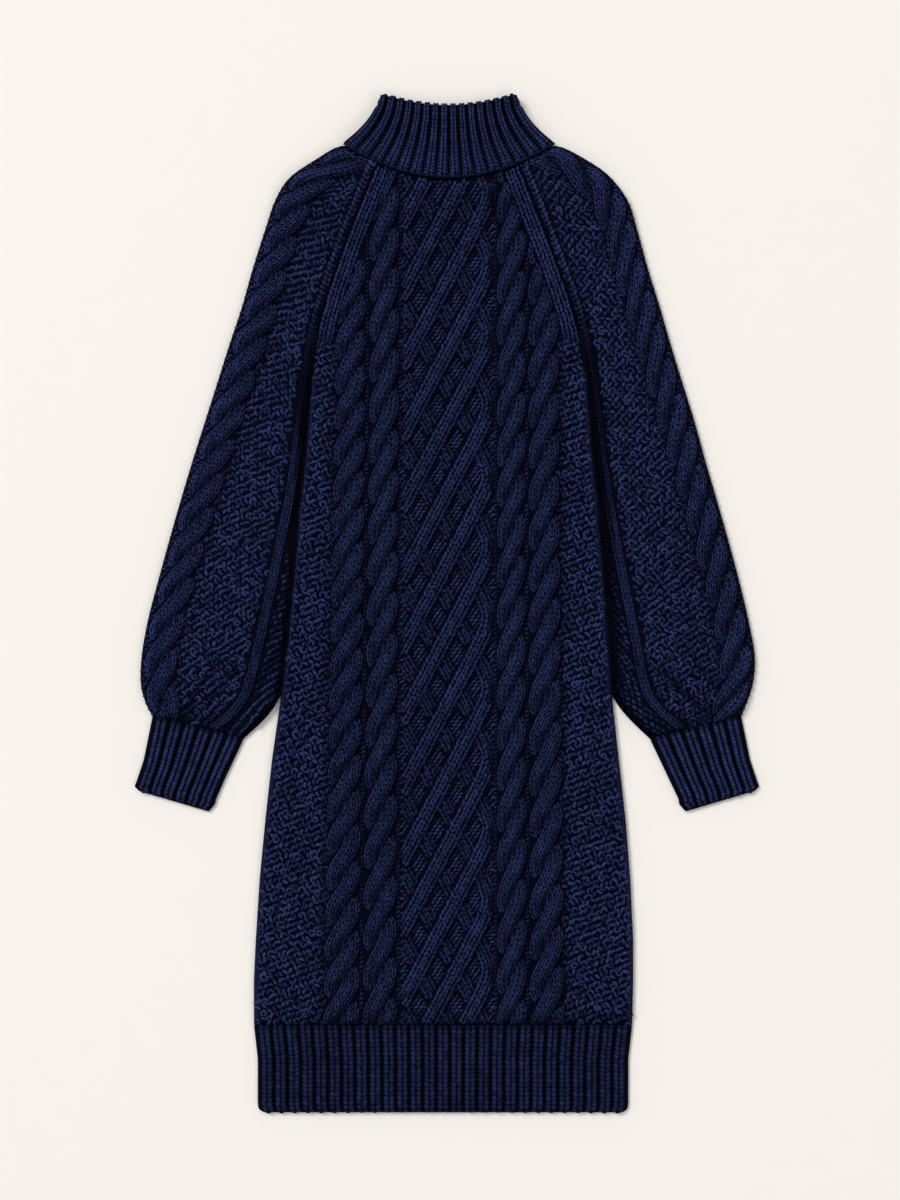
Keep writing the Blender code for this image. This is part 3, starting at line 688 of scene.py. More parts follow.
def rope_paths(pitch, first_up, low, high):
    """Each column of stitches on a rope: its places across, from -1 to 1, and up, and its light."""
    for k in range(floor((low - first_up) / pitch) - 1, ceil((high - first_up) / pitch) + 2):
        u = linspace(-0.9, 0.9, 70) * pitch
        middle, reach, crest = strand(u, pitch)
        for lane in (-0.64, 0, 0.64):
            # painted shade where each end of the strand passes beneath the next one
            below = smooth(lane, -0.9, 0.5) * smooth(-u / pitch, 0.15, 0.6)
            above = smooth(-lane, -0.5, 0.7) * smooth(u / pitch, 0.3, 0.7)
            shade = (1 - 0.65 * below) * (1 - 0.45 * above)
            across, up = middle + lane * reach, first_up + k * pitch + u
            nearby = maximum(*(one_strand(across, u + way * pitch, pitch) for way in (-1, 1)))
            shown = (crest * sqrt(1 - lane ** 2) > nearby + STRAND_GAP) & (up > low) & (up < high)
            if shown.sum() > 5:
                yield across[shown], up[shown], shade[shown]


YARN_CLEAR = 0.0035  # from the collar's lower edge to the first yarn below it


def in_front(x, up):
    """Clear of the front's edges, raglan bands, hem and collar."""
    clear = where(up > ARMPIT_UP + 0.01, RAGLAN_BAND + 0.002, 0.002)
    return (from_side(x, up) > clear) & (up > HEM_TOP + 0.0016) & (below_flap(x, up) > YARN_CLEAR)


def body_rope(name):
    column, pitch, first_up = ROPES[name]
    parts = []
    for across, up, shade in rope_paths(pitch, first_up, HEM_TOP + 0.001, 0.995):
        left, right = reading(CHART, up)[column:column + 2]
        x = (left + right + across * (right - left)) / 2
        parts += wale(front_top, x, up, *ROPE_STITCH, shade, in_front, 0.6)
    return parts


ropes_left = yarn_piece("ropes_left", body_rope("a") + body_rope("b"))
ropes_right = yarn_piece("ropes_right", body_rope("c") + body_rope("d"))

# --- Yarn of the lattice ---
# Between the ropes, strands of two columns climb to the right, turn at the edge and
# pass back beneath the others. Small purl bumps fill the diamonds that they leave.

LANE = 0.0076  # from column to column of a strand


def lattice_strand(k):
    """The columns of one strand: up to the right on top, then back up to the left beneath."""
    q = linspace(-0.098, 0.098, 180)
    turn_up = LATTICE_TURN_UP + k * LATTICE_PITCH
    up = turn_up + q * LATTICE_SLOPE
    edge = reading(CHART, up)[5] + 0.001
    x = edge - sqrt(q ** 2 + 0.006 ** 2)
    ahead = unit(stack([np.gradient(x), np.gradient(up)], 1))
    parts = []
    for lane in (-0.5, 0.5):
        lane_x = x + ahead[:, 1] * lane * LANE
        lane_up = up - ahead[:, 0] * lane * LANE

        def shown(a, b):
            over, under = lattice(a, b)
            chart = reading(CHART, b)
            on_top = b < turn_up + 0.012
            inside = (a > chart[4] + 0.001) & (a < chart[5] + 0.004)
            return inside & in_front(a, b) & (on_top | (over < 0.55 * under))

        # painted shade on the part of the strand that passes beneath the others
        shade = where(lane_up < turn_up + 0.012, 1, 0.65)
        parts += wale(front_top, lane_x, lane_up, LANE * 1.05, row=0.0052, shade=shade, keep=shown)
    return parts


def scattered(surface, a, b, angle, shape, size=1, shade=1):
    """Copies of a yarn shape over a surface, each turned by an angle from the way across."""
    spot, normal, open_sky = seat(surface, a, b)
    across = unit(surface(a + 0.001, b) - surface(a - 0.001, b))
    angle = np.broadcast_to(angle, a.shape)[:, None]
    forward = across * cos(angle) + cross(normal, across) * sin(angle)
    return copies(shape, spot, forward, normal, (size, size, size), shade * open_sky)


def rows_of(low, high, left, right, pitch, row):
    """A staggered grid of places, as flat arrays."""
    up = arange(low, high, row)
    across = arange(left, right, pitch)
    a, b = np.meshgrid(across, up)
    a = a + where(arange(len(up)) % 2, pitch / 2, 0)[:, None]
    return a.ravel(), b.ravel()


x, up = rows_of(HEM_TOP + 0.004, 0.99, -0.052, 0.054, 0.005, 0.0038)
x = x + rng.uniform(-0.0004, 0.0004, len(x))
over, under = lattice(x, up)
chart = reading(CHART, up)
open_ground = (maximum(over, under) < 0.0011) & (x > chart[4]) & (x < chart[5]) & in_front(x, up)
x, up = x[open_ground], up[open_ground]
PURL = yarn_shape(4, 4, (0.0056, 0.0029, 0.0044), low=-0.3, high=0.2)
purl = scattered(front_top, x, up, 0.6 + rng.normal(0, 0.2, len(x)), PURL, shade=1.35)
strands = [part for k in range(-12, 7) for part in lattice_strand(k)]
lattice_yarn = yarn_piece("lattice_yarn", strands + [purl])

# --- Yarn of the front's sides ---
# Moss stitch fills both sides: knots of yarn in rows that rise to the right. Two ribs
# run up each raglan edge, and single purl bumps fill the channels beside the ropes.

RING = yarn_shape(4, 8, (0.0116, 0.003, 0.0046), 5.2, -0.4, 0.3)
HOOK = yarn_shape(4, 6, (0.0074, 0.0032, 0.0048), 2.4, -0.4, 0.3)
DASH = yarn_shape(4, 5, (0.006, 0.0036, 0.0048), 0.8, -0.4, 0.3)
MOSS_RISE = 0.36  # slope of the rows of knots, in radians
MOSS_PITCH = 0.0051  # from knot to knot
MOSS_ROW = 0.0063  # and from row to row
OFF_ROPE = 0.05  # a rope's height below which the ground shows


def moss(surface, a, b, shade):
    """Knots of yarn, hooks, rings and dashes mixed, each turned its own way."""
    kind = rng.choice(3, len(a), p=(0.4, 0.15, 0.45))
    light = shade * rng.uniform(0.5, 1.2, len(a))
    parts = []
    for number, shape in enumerate((HOOK, RING, DASH)):
        chosen = kind == number
        turn = MOSS_RISE + rng.choice([0.7, 0.7, 0.1, -0.9, 2], chosen.sum())
        turn = turn + rng.normal(0, 0.25, chosen.sum())
        size = rng.uniform(1, 1.24, chosen.sum())
        parts.append(scattered(surface, a[chosen], b[chosen], turn, shape, size, light[chosen]))
    return parts


def moss_places(low, high, left, right, rise=MOSS_RISE):
    """Slanting rows of places, each a little off."""
    wide, lean = right - left, np.tan(rise)
    spread = abs(lean) * wide
    a, b = rows_of(0, high - low + spread, 0, wide, MOSS_PITCH * cos(rise), MOSS_ROW / cos(rise))
    b = b + low - (spread if rise > 0 else 0) + a * lean
    return a + left + rng.normal(0, 0.0005, len(a)), b + rng.normal(0, 0.0005, len(b))


x, up = moss_places(HEM_TOP, 0.99, -0.205, 0.2)
chart = reading(CHART, up)
from_edge = from_side(x, up)
from_rope = maximum(chart[0] - x, x - chart[9])
beside = (from_rope > -0.004) & (from_edge > 0.0034) & in_front(x, up)
for name in "ad":
    beside &= body_rope_height(x, up, name) < OFF_ROPE
# painted light near the side edges, where the cloth rounds over, and painted shade beside the ropes
shade = (1.5 - 0.3 * smooth(from_edge, 0.003, 0.02)) * (0.45 + 0.55 * smooth(from_rope, -0.004, 0.012))
side_moss = moss(front_top, x[beside], up[beside], shade[beside])


def channel(k):
    """Purl bumps between this edge of the chart and the next."""
    up = arange(HEM_TOP + 0.004, 0.985, 0.0048)
    chart = reading(CHART, up)
    x = (chart[k] + chart[k + 1]) / 2
    shown = in_front(x, up)
    # dimmed: painted shade in the narrow channel
    return scattered(front_top, x[shown], up[shown], 0.6, PURL, shade=0.65)


bands = []
for edge, way in ((0, 1), (1, -1)):
    for rib in (0.25, 0.75):
        up = linspace(ARMPIT_UP - 0.012, 0.993, 120)
        x = reading(BODY_EDGES, up)[edge] + way * (0.0008 + RAGLAN_BAND * rib)
        # painted shade, darker towards the armpit crease
        shade = smooth(up, ARMPIT_UP - 0.012, ARMPIT_UP + 0.03)
        bands += wale(front_top, x, up, 0.0078, shade=shade, keep=lambda a, b: below_flap(a, b) > 0.002)
channels = [channel(k) for k in (1, 3, 5, 7)]
sides_yarn = yarn_piece("sides_yarn", side_moss + bands + channels)
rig.sheet(front, held="laid", rests_on=["back"],
         with_pieces=[ropes_left, ropes_right, lattice_yarn, sides_yarn], **front_cut)

# --- Sleeves ---
# Each sleeve is one knitted piece, folded at its outer edge and sewn along its inner one.
# A rope runs down it beside moss stitch, and its full lower end is gathered to the cuff.

ARMPIT, CLEAR = 7, 17  # stations where the raglan seam ends and the sleeve comes clear of the body
ROPE_PITCH, ROPE_FIRST = 0.037, 0.03  # the sleeve's rope, measured down from the neck
ROPE_IN = 0.0045  # from the fold to the rope
SEAM_BAND = 0.012
SEAM_RIB_RISE = 0.0015
FOLD_STEP = 0.0018
SLEEVE_FULL_WIDTH = 0.072
SHOULDER_PUFF = 0.0008
SLEEVE_PUFF = 0.003  # air between the layers of the full lower sleeve
GATHERS = 5
GATHER_RISE = 0.0026
GATHER_LENGTH = 0.055

FOLD_LEFT = [  # x and up of the fold at each station, from the neck to the cuff
    (-0.087, 1.0135), (-0.112, 1.016), (-0.138, 1.0018), (-0.165, 0.983), (-0.18, 0.96),
    (-0.191, 0.929), (-0.204, 0.888), (-0.216, 0.846), (-0.229, 0.807), (-0.241, 0.769),
    (-0.255, 0.725), (-0.268, 0.684), (-0.28, 0.644), (-0.292, 0.602), (-0.303, 0.562),
    (-0.314, 0.52), (-0.321, 0.481), (-0.322, 0.451), (-0.317, 0.431), (-0.31, 0.417),
]
FOLD_RIGHT = [
    (0.091, 1.0135), (0.117, 1.0158), (0.145, 1.0025), (0.17, 0.985), (0.19, 0.959),
    (0.2, 0.929), (0.211, 0.889), (0.224, 0.847), (0.235, 0.809), (0.247, 0.77),
    (0.261, 0.725), (0.272, 0.685), (0.284, 0.644), (0.296, 0.602), (0.307, 0.561),
    (0.317, 0.519), (0.324, 0.48), (0.322, 0.451), (0.316, 0.432), (0.31, 0.417),
]
INNER_UP = [  # up of the inner edge at each station after the first
    0.988, 0.972, 0.951, 0.917, 0.881, 0.843, 0.801, 0.759, 0.724, 0.684,
    0.644, 0.606, 0.568, 0.531, 0.495, 0.461, 0.436, 0.416, 0.393,
]
BESIDE = [0.0001] * 8 + [0.0002] * 9 + [0.002]  # from the body to the inner edge, but for the last two
SEAM_PATH = np.array([  # station, how far the seam's ribs lie in from the inner edge
    (7, 0.005), (11, 0.011), (13, 0.019), (15, 0.028), (17, 0.036), (19, 0.038),
])
# station, how far the body's painted shade reaches in over the sleeve
SHADE_LEFT = np.array([(7, 0.014), (8.5, 0.02), (10.5, 0.01), (19, 0.01)])
SHADE_RIGHT = np.array([(7, 0.016), (9, 0.02), (16, 0.019), (19, 0.012)])
CREASES_LEFT = [  # from x, up to x, up, then half width and height
    (-0.166, 0.55, -0.184, 0.524, 0.0034, -0.0021), (-0.169, 0.521, -0.196, 0.484, 0.0036, -0.0024),
    (-0.176, 0.5, -0.216, 0.443, 0.0042, 0.0024), (-0.174, 0.484, -0.203, 0.436, 0.004, -0.0024),
    (-0.215, 0.47, -0.262, 0.42, 0.0042, -0.0022), (-0.245, 0.48, -0.28, 0.428, 0.004, 0.002),
    (-0.153, 0.64, -0.166, 0.6, 0.004, -0.0016),
]
CREASES_RIGHT = [
    (0.172, 0.54, 0.196, 0.5, 0.0036, -0.002), (0.176, 0.5, 0.214, 0.456, 0.004, -0.0024),
    (0.178, 0.474, 0.206, 0.432, 0.004, 0.0022), (0.222, 0.47, 0.268, 0.424, 0.0042, -0.0024),
    (0.25, 0.486, 0.286, 0.43, 0.004, 0.002), (0.16, 0.65, 0.174, 0.606, 0.004, -0.0016),
]


def along(table, t):
    """Rows of a table at fractional indices, on a smooth curve through its rows."""
    i = minimum(t.astype(int), len(table) - 2)
    f = (t - i)[:, None]
    p, q, r, s = (table[clip(i + k, 0, len(table) - 1)] for k in (-1, 0, 1, 2))
    return q + 0.5 * f * (r - p + f * (2 * p - 5 * q + 4 * r - s + f * (3 * (q - r) + s - p)))


def creased(x, up, creases):
    """Soft folds and troughs along straight lines."""
    total = 0
    for x0, up0, x1, up1, half, height in creases:
        way_x, way_up = x1 - x0, up1 - up0
        t = ((x - x0) * way_x + (up - up0) * way_up) / (way_x ** 2 + way_up ** 2)
        nearest = clip(t, 0, 1)
        off = (x - x0 - nearest * way_x) ** 2 + (up - up0 - nearest * way_up) ** 2
        total = total + height * np.exp(-off / half ** 2) * smooth(t, -0.2, 0.25) * smooth(1 - t, -0.2, 0.25)
    return total


class Sleeve:
    """Where a sleeve lies. a is the distance from its fold, growing to the right, b the way up to the neck.

    inward is the same without a sign, and down the way from the neck.
    """

    def __init__(self, fold, neck_up, beside, creases, shade, rise):
        """neck_up is the first station's inner edge, and beside completes the list of that name."""
        index = linspace(0, len(fold) - 1, 229)
        stations = np.column_stack([fold, [neck_up, *INNER_UP], [*BESIDE, *beside]])
        outer_x, outer_up, inner_up, beside = along(stations, index).T
        left, right = reading(BODY_EDGES, inner_up)
        self.hand = 1 if outer_x[0] < 0 else -1
        fold = stack([outer_x, outer_up], 1)
        seam = stack([left - beside if self.hand > 0 else right + beside, inner_up], 1)
        self.down = run((fold + seam) / 2)
        self.table = np.column_stack([fold, unit(seam - fold), np.linalg.norm(seam - fold, axis=1), index])
        self.creases, self.shade, self.rise = creases, shade, rise

    def rows(self, down):
        """Fold x and up, the way in to the seam, the width and the station."""
        return [interp(down, self.down, column) for column in self.table.T]

    def at(self, inward, down):
        """x and up of a place."""
        x, up, in_x, in_up = self.rows(down)[:4]
        return x + in_x * inward, up + in_up * inward

    def layer(self, inward, down, side):
        """A wall's inner height, its thickness, and that with its edges rounded over.

        side is 1 for the upper layer, 0 for the fold and -1 for the lower layer.
        """
        width, index = self.rows(down)[4:]
        to_cuff = self.down[-1] - down
        arm = smooth(index, ARMPIT - 1, ARMPIT + 1)
        full = smooth(index, ARMPIT, ARMPIT + 8) * smooth(to_cuff, 0, 0.03)
        thick = RIB_WALL + (WALL - RIB_WALL) * smooth(to_cuff, 0, 0.02)
        turned = minimum(turn_down(inward), turn_down(width - inward + (1 - arm) * RAGLAN_ROUND))
        share = inward / width
        air = (SHOULDER_PUFF + (SLEEVE_PUFF - SHOULDER_PUFF) * full) * 4 * share * (1 - share)
        level = lift(self.at(inward, down)[1]) + thick + SEAM * (1 + side) / 2 + air * (side > 0)
        return level, thick, thick * turned

    def rope(self, inward, down):
        """Height of its rope, 0 to 1."""
        across = self.hand * ((inward - ROPE_IN) / ROPE_HALF - 1)
        return rope_height(across, -down, ROPE_PITCH, ROPE_FIRST)

    def relief(self, inward, down):
        """What stands up from the ground: the rope, two ribs at the seam, gathers and creases."""
        x, up = self.at(inward, down)
        width, index = self.rows(down)[4:]
        to_cuff = self.down[-1] - down
        off_seam = (width - inward - interp(index, *SEAM_PATH.T)) / (SEAM_BAND / 2)
        ribs = SEAM_RIB_RISE * abs(sin(pi * off_seam)) * (abs(off_seam) < 1)
        gathered = GATHER_RISE * (1 - smooth(to_cuff, 0, GATHER_LENGTH))
        height = maximum(CABLE_RISE * self.rope(inward, down), ribs)
        height = height + gathered * sin(pi * GATHERS * inward / width) ** 2
        height = height + creased(x, up, self.creases)
        return height * smooth(to_cuff, 0, 0.006) * smooth(below_flap(x, up), *FLAP_FADE)

    def top(self, a, b):
        """Where the middle of the yarn lies on the upper layer."""
        inward = self.hand * a
        level, _, rounded = self.layer(inward, -b, 1)
        return placed(*self.at(inward, -b), level + rounded + self.relief(inward, -b) - SINK)

    def light(self, a, b):
        """Painted shade: the strip beside the body lies in its shade, darkening the colour."""
        width, index = self.rows(-b)[4:]
        reach = interp(index, *self.shade.T)
        return 1 - 0.94 * (1 - smooth((width - abs(a)) / reach, 0.3, 1)) * smooth(index, 4.5, 7.5)


SLEEVE_STEP = 0.0045
NEAR_FOLD = [0.0072, 0.0042, FOLD_STEP]  # columns beside the fold


def sleeve_cloth(name, sleeve):
    down = linspace(0, sleeve.down[-1], round(sleeve.down[-1] / SLEEVE_STEP))[:, None]
    width = sleeve.rows(down)[4]
    close = minimum(1, width / SLEEVE_FULL_WIDTH)
    front = hstack([width * (1 - arange(25) / 27), close * NEAR_FOLD])
    behind = hstack([close * NEAR_FOLD[::-1], width * [1 / 3, 2 / 3], width - close * 0.005, width])
    inward = hstack([front, 0 * width, behind])
    fold = front.shape[1]
    side = sign(fold - arange(inward.shape[1]))
    level, thick, rounded = sleeve.layer(inward, down, side)
    raised = (side > 0) * (sleeve.relief(inward, down) - SINK)
    skin = placed(*sleeve.at(inward, down), level + side * rounded + raised)
    inside = where(side, maximum(inward, thick + FOLD_STEP), thick)
    lining = placed(*sleeve.at(inside, down), level)
    kept = [0, 9, 18, fold - 1, fold, fold + 1, fold + 4, fold + 5, fold + 7]
    # painted shade: the upper side is dark beneath the yarn, and darker again in the body's painted shade; the lower
    # layer takes a plain tone
    tones = where(side < 0, 0.75, 0.08) + 0 * inward
    tones[:, :fold] *= sleeve.light(front * sleeve.hand, -down)
    return cloth(name, name, "wool_body", skin, lining, kept, (tones, 0.5))


def sleeve_yarn(name, sleeve):
    """All the yarn of a sleeve."""
    hand, end, top = sleeve.hand, sleeve.down[-1], sleeve.top

    def shown(a, b):
        on_cloth = (abs(a) < sleeve.rows(-b)[4] - 0.0015) & (b > 0.002 - end)
        return on_cloth & (below_flap(*sleeve.at(abs(a), -b)) > YARN_CLEAR)

    parts = []
    for across, b, shade in rope_paths(ROPE_PITCH, ROPE_FIRST, -end, 0):
        a = hand * (ROPE_IN + ROPE_HALF) + across * ROPE_HALF
        shade = shade * (1.8 - 0.8 * smooth(abs(a), 0.006, 0.016))  # painted light near the fold, where it faces outward
        parts += wale(top, a, b, *ROPE_STITCH, shade, shown, 0.6)
    armpit, clear = interp([ARMPIT, CLEAR], sleeve.table[:, 5], sleeve.down)
    b = -linspace(end - 0.004, armpit - 0.02, 240)
    width, index = sleeve.rows(-b)[4:]
    # the seam's two ribs, in the body's painted shade
    for rib in (-0.0025, 0.0025):
        a = hand * (width - interp(index, *SEAM_PATH.T) + rib)
        parts += wale(top, a, b, 0.0042, slant=0.1, shade=0.85 * sleeve.light(a, b), keep=shown, uneven=0.5)
    # the selvedge that lies against the body, nearly black: painted shade in the crease
    b = -arange(armpit, clear, 0.0048)
    a = hand * (sleeve.rows(-b)[4] - 0.0002)
    parts.append(scattered(top, a, b, hand * (pi / 2 - 0.1), DASH, shade=0.12))
    # the slanting stitches of the raglan edge: painted light, twice the usual, and the body's painted shade
    b = -linspace(armpit, 0.004, 120)
    a = hand * (sleeve.rows(-b)[4] - 0.0055)
    parts += wale(top, a, b, 0.0095, row=0.0052, slant=0.75, shade=2 * sleeve.light(a, b), keep=shown)
    # purl dashes between the fold and the rope
    a, b = rows_of(0.002, end - 0.003, 0.0022, ROPE_IN + 0.008, 0.0056, 0.0042)
    a, b = hand * a, -b
    kept = shown(a, b) & (sleeve.rope(abs(a), -b) < OFF_ROPE)
    parts.append(scattered(top, a[kept], b[kept], hand * 0.5, PURL, 1.1, 1.1))
    # moss stitch between the rope and the seam, and dashes beyond the seam
    a, b = moss_places(-end, 0, 0.001, 0.15, hand * sleeve.rise)
    a = hand * a
    inward = abs(a)
    width, index = sleeve.rows(-b)[4:]
    to_seam = width - where(index > ARMPIT, interp(index, *SEAM_PATH.T) + 0.006, 0.009)
    beside = shown(a, b) & (inward > ROPE_IN + ROPE_HALF) & (sleeve.rope(inward, -b) < OFF_ROPE)
    inner = beside & (inward < to_seam - 0.003)
    # painted shade beside the rope
    shade = 0.5 + 0.5 * smooth(inward - ROPE_IN - 2 * ROPE_HALF, -0.004, 0.007)
    parts += moss(top, a[inner], b[inner], 1.2 * shade[inner])
    beyond = beside & (inward > to_seam + 0.0145) & (index > ARMPIT)
    a, b = a[beyond], b[beyond]
    turn = hand * 0.9 + rng.normal(0, 0.2, len(a))
    parts.append(scattered(top, a, b, turn, DASH, shade=sleeve.light(a, b)))
    return yarn_piece(name, parts)


for name, sleeve in (
    ("sleeve_left", Sleeve(FOLD_LEFT, 0.9972, (0.012, 0.033), CREASES_LEFT, SHADE_LEFT, 0.7)),
    ("sleeve_right", Sleeve(FOLD_RIGHT, 0.9965, (0.014, 0.035), CREASES_RIGHT, SHADE_RIGHT, 0.42)),
):
    made, cut = sleeve_cloth(name, sleeve)
    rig.sheet(made, held="laid", with_pieces=[sleeve_yarn(name + "_yarn", sleeve)], **cut)

# --- Cuffs and hem ---
# Ribbed tubes, laid flat: columns of knit stitches stand up side by side and the purl
# columns between them sink back. Their lower edges are cast off plainly.

CUFF_LEFT = [  # left fold x, up, right fold x, up
    (-0.3098, 0.4174, -0.2138, 0.3934), (-0.3105, 0.413, -0.2155, 0.389),
    (-0.319, 0.371, -0.233, 0.352), (-0.327, 0.347, -0.243, 0.329),
    (-0.329, 0.343, -0.2435, 0.3245), (-0.324, 0.338, -0.2505, 0.3165),
]
CUFF_RIGHT = [
    (0.2138, 0.3934, 0.3098, 0.4174), (0.2155, 0.389, 0.3105, 0.413),
    (0.233, 0.352, 0.319, 0.371), (0.244, 0.329, 0.327, 0.347),
    (0.244, 0.3245, 0.329, 0.343), (0.251, 0.3165, 0.324, 0.338),
]
HEM = [
    (-0.203, 0.0921, 0.195, 0.0921), (-0.2025, 0.087, 0.1945, 0.087),
    (-0.199, 0.056, 0.191, 0.056), (-0.199, 0.008, 0.191, 0.008),
    (-0.198, 0.003, 0.19, 0.003), (-0.193, 0.0, 0.185, 0.0),
]
TUBE_ENDS = [(1, 0), (1, 1), (1, 1), (1, 1), (0.85, 0.8), (0.5, 0)]  # of wall and ribs
TUBE_MIDDLE = RIB_WALL + SEAM / 2
CUFF_RIBS = 6
HEM_RIBS = 27
RIB_CELLS = 8
RIB_SINK = 0.6 * SINK


def ribbed(phase):
    """How far up between a purl column, at 0 and 1, and a knit one."""
    return abs(sin(pi * phase)) ** 0.7


class Tube:
    """Where a ribbed tube lies. a is the share across it from its left fold, b the row of its table."""

    def __init__(self, folds, ribs):
        self.table, self.ribs = hstack([folds, TUBE_ENDS]), ribs

    def section(self, b):
        """Left fold, way across, width, and how far wall and ribs fade."""
        x0, up0, x1, up1, squeeze, relief = (interp(b, range(6), column) for column in self.table.T)
        width = np.hypot(x1 - x0, up1 - up0)
        return x0, up0, x1 - x0, up1 - up0, width, squeeze, relief

    def place(self, share, b, z, out=0):
        """A share of the way between the folds' middles, and out beyond them."""
        x, up, across, rise, width, *_ = self.section(b)
        share = (TUBE_MIDDLE + (width - 2 * TUBE_MIDDLE) * share + out) / width
        return placed(x + across * share, up + rise * share, z)

    def top(self, a, b):
        *_, squeeze, relief = self.section(b)
        z = TUBE_MIDDLE + SEAM / 2 + RIB_WALL * squeeze + RIB_RISE * relief * ribbed(a * self.ribs)
        return self.place(a, b, z - RIB_SINK)

    def ring(self, name, steps):
        """The tube's wall: its left fold, the upper side, its right fold, then the lower side."""
        b = interp(linspace(0, 1, steps), [0, 0.05, 0.86, 0.95, 1], [0, 1, 3, 4, 5])[:, None]
        shares = linspace(0, 1, self.ribs * RIB_CELLS + 1)
        under = linspace(1, 0, 2 * self.ribs + 1)
        across = concatenate([[0], shares, [1], under])
        side = np.repeat([0, 1, 0, -1], [1, len(shares), 1, len(under)])
        outward = (side == 0) * (2 * across - 1)
        half = SEAM / 2 + RIB_WALL * self.section(b)[5]
        skin = self.place(across, b, TUBE_MIDDLE + side * half, outward * TUBE_MIDDLE)
        skin[:, side > 0] = self.top(shares, b)
        lining = self.place(across, b, TUBE_MIDDLE + side * SEAM / 2, outward * SEAM / 2)
        last = len(shares)
        kept = {0, *range(1, last, 2 * RIB_CELLS), last, last + 1, *range(last + 2, len(side), self.ribs)}
        ribs = ribbed(across * self.ribs)
        # painted shade: darker in the purl columns between the ribs, darkest on the upper side beneath the yarn
        tones = np.select([side > 0, side < 0], [0.02 + 0.12 * ribs, 0.3 + 0.5 * ribs], 0.2)
        return cloth(name, name, "wool_rib", skin, lining, sorted(kept), (tones, 0.4), ring=True)

    def yarn(self, name, width, row, slant, shade):
        """One column of knit stitches on each rib."""
        parts = []
        b = linspace(4.75, 0.01, 120)
        wide = width * self.section(b)[4] / self.section(3)[4]
        for rib in range(self.ribs):
            share = np.full(120, (rib + 0.5) / self.ribs)
            parts += wale(self.top, share, b, wide, row, slant, 0.24, shade=shade, uneven=0.4)
        return yarn_piece(name, parts, "wool_rib")


CUFF_STITCH = (0.0108, 0.004, 0.3, 0.95)  # width, row, slant and shade
HEM_STITCH = (0.0118, 0.0046, 0.8, 0.6)
for name, folds, ribs, steps, stitch in (
    ("cuff_left", CUFF_LEFT, CUFF_RIBS, 24, CUFF_STITCH),
    ("cuff_right", CUFF_RIGHT, CUFF_RIBS, 24, CUFF_STITCH),
    ("hem_band", HEM, HEM_RIBS, 26, HEM_STITCH),
):
    tube = Tube(folds, ribs)
    made, cut = tube.ring(name, steps)
    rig.sheet(made, held="laid", with_pieces=[tube.yarn(name + "_yarn", *stitch)], **cut)

# --- Roll collar ---
# A long ribbed tube picked up round the neck and turned down once, so that its upper
# half covers the neck seam and its ribs fan out towards the shoulders.

COLLAR_RIBS = 16
COLLAR_ROUND = 0.005
CREST_DROP = 0.08
COLLAR_MIDDLE = 2 * RIB_WALL + 1.5 * SEAM  # of its four layers
FLAP_CLEAR = RIB_WALL + 1.5 * SEAM
FLAP_FRONT_CLEAR = NECK_LIFT + 2 * WALL + 3 * SEAM - COLLAR_MIDDLE
STAND_FRONT_CLEAR = NECK_LIFT + WALL + SEAM - COLLAR_MIDDLE
NECK_FLAT = 0.0735
NECK_HALF = 0.089
NECK_RISE = 0.0155
EDGE_CORNER = 0.0048  # rounding of the flap's lower corners
CREST_CORNER = 0.0045  # and of its upper ones


def collar_place(share, t, side, inner):
    """A point of the collar: t runs 0 to 1 up the flap, to 2 over the roll, to 3 down the stand.

    side is 1 for its front half and -1 for its back one. inner is 1 on the
    purl side of the cloth, which lies within the flap, and 0 on the ribbed one.
    """
    drop = 1 - (1 - CREST_DROP) * clip(t, 0, 1)
    corner = FLAP_TOP_UP + (FLAP_HEM_UP - FLAP_TOP_UP) * drop
    bow = FLAP_TOP_DIP + (FLAP_HEM_DIP - FLAP_TOP_DIP) * drop
    clear = FLAP_CLEAR + (side > 0) * (FLAP_FRONT_CLEAR - FLAP_CLEAR) * smooth(drop, 0.1, 0.7)
    at_edge = clip((1 - drop) / 0.04, 0, 1)
    half = FLAP_TOP_HALF + (FLAP_HEM_HALF - FLAP_TOP_HALF) * drop ** 1.7 + 0.0022 * drop ** 4
    half = half - EDGE_CORNER * (1 - sqrt(1 - clip(1 - t / 0.12, 0, 1) ** 2))
    rib = (side > 0) * RIB_RISE * at_edge * ribbed((share + 1) / 2 * COLLAR_RIBS)
    rib = rib * (1 - smooth(t, 1.5, 2))
    turn = pi * clip(t - 1, 0, 1)
    down = clip(t - 2, 0, 1)
    outside = (1 - inner) * (RIB_WALL * (0.55 + 0.45 * at_edge) + rib)
    # over the roll, from the flap's height to the stand's
    rolled = FLAP_CLEAR - SEAM / 2 + (SEAM / 2 + outside) * cos(turn)
    base = where(side > 0, STAND_FRONT_CLEAR, SEAM / 2)
    height = where(t > 1, rolled, clear + outside) + down * (base - SEAM / 2)
    reach = half - inner * RIB_WALL * cos(turn) - (1 - cos(turn)) / 2 * (2 * RIB_WALL + SEAM)
    reach = reach + down * (NECK_HALF + inner * RIB_WALL - reach)
    x = NECK_X + share * reach
    rise = sin(turn) * (inner * 0.0034 + (1 - inner) * (0.0072 + 0.25 * rib))
    beyond = (abs(x - NECK_X) - NECK_FLAT) / (NECK_HALF - NECK_FLAT)
    neck = NECK_UP + NECK_RISE * clip(beyond, 0, 1) + SEAM
    rounded = maximum(0, (abs(share) - 0.88) / 0.12) ** 2
    up = corner - bow * (1 - share ** 2) + rise - CREST_CORNER * rounded * smooth(t, 0.8, 1)
    up = up + down * (neck - up)
    near_fold = maximum(0, 1 - (1 - abs(share)) * reach / COLLAR_ROUND)
    return x, up, COLLAR_MIDDLE + side * height * sqrt(maximum(0, 1 - near_fold ** 2))


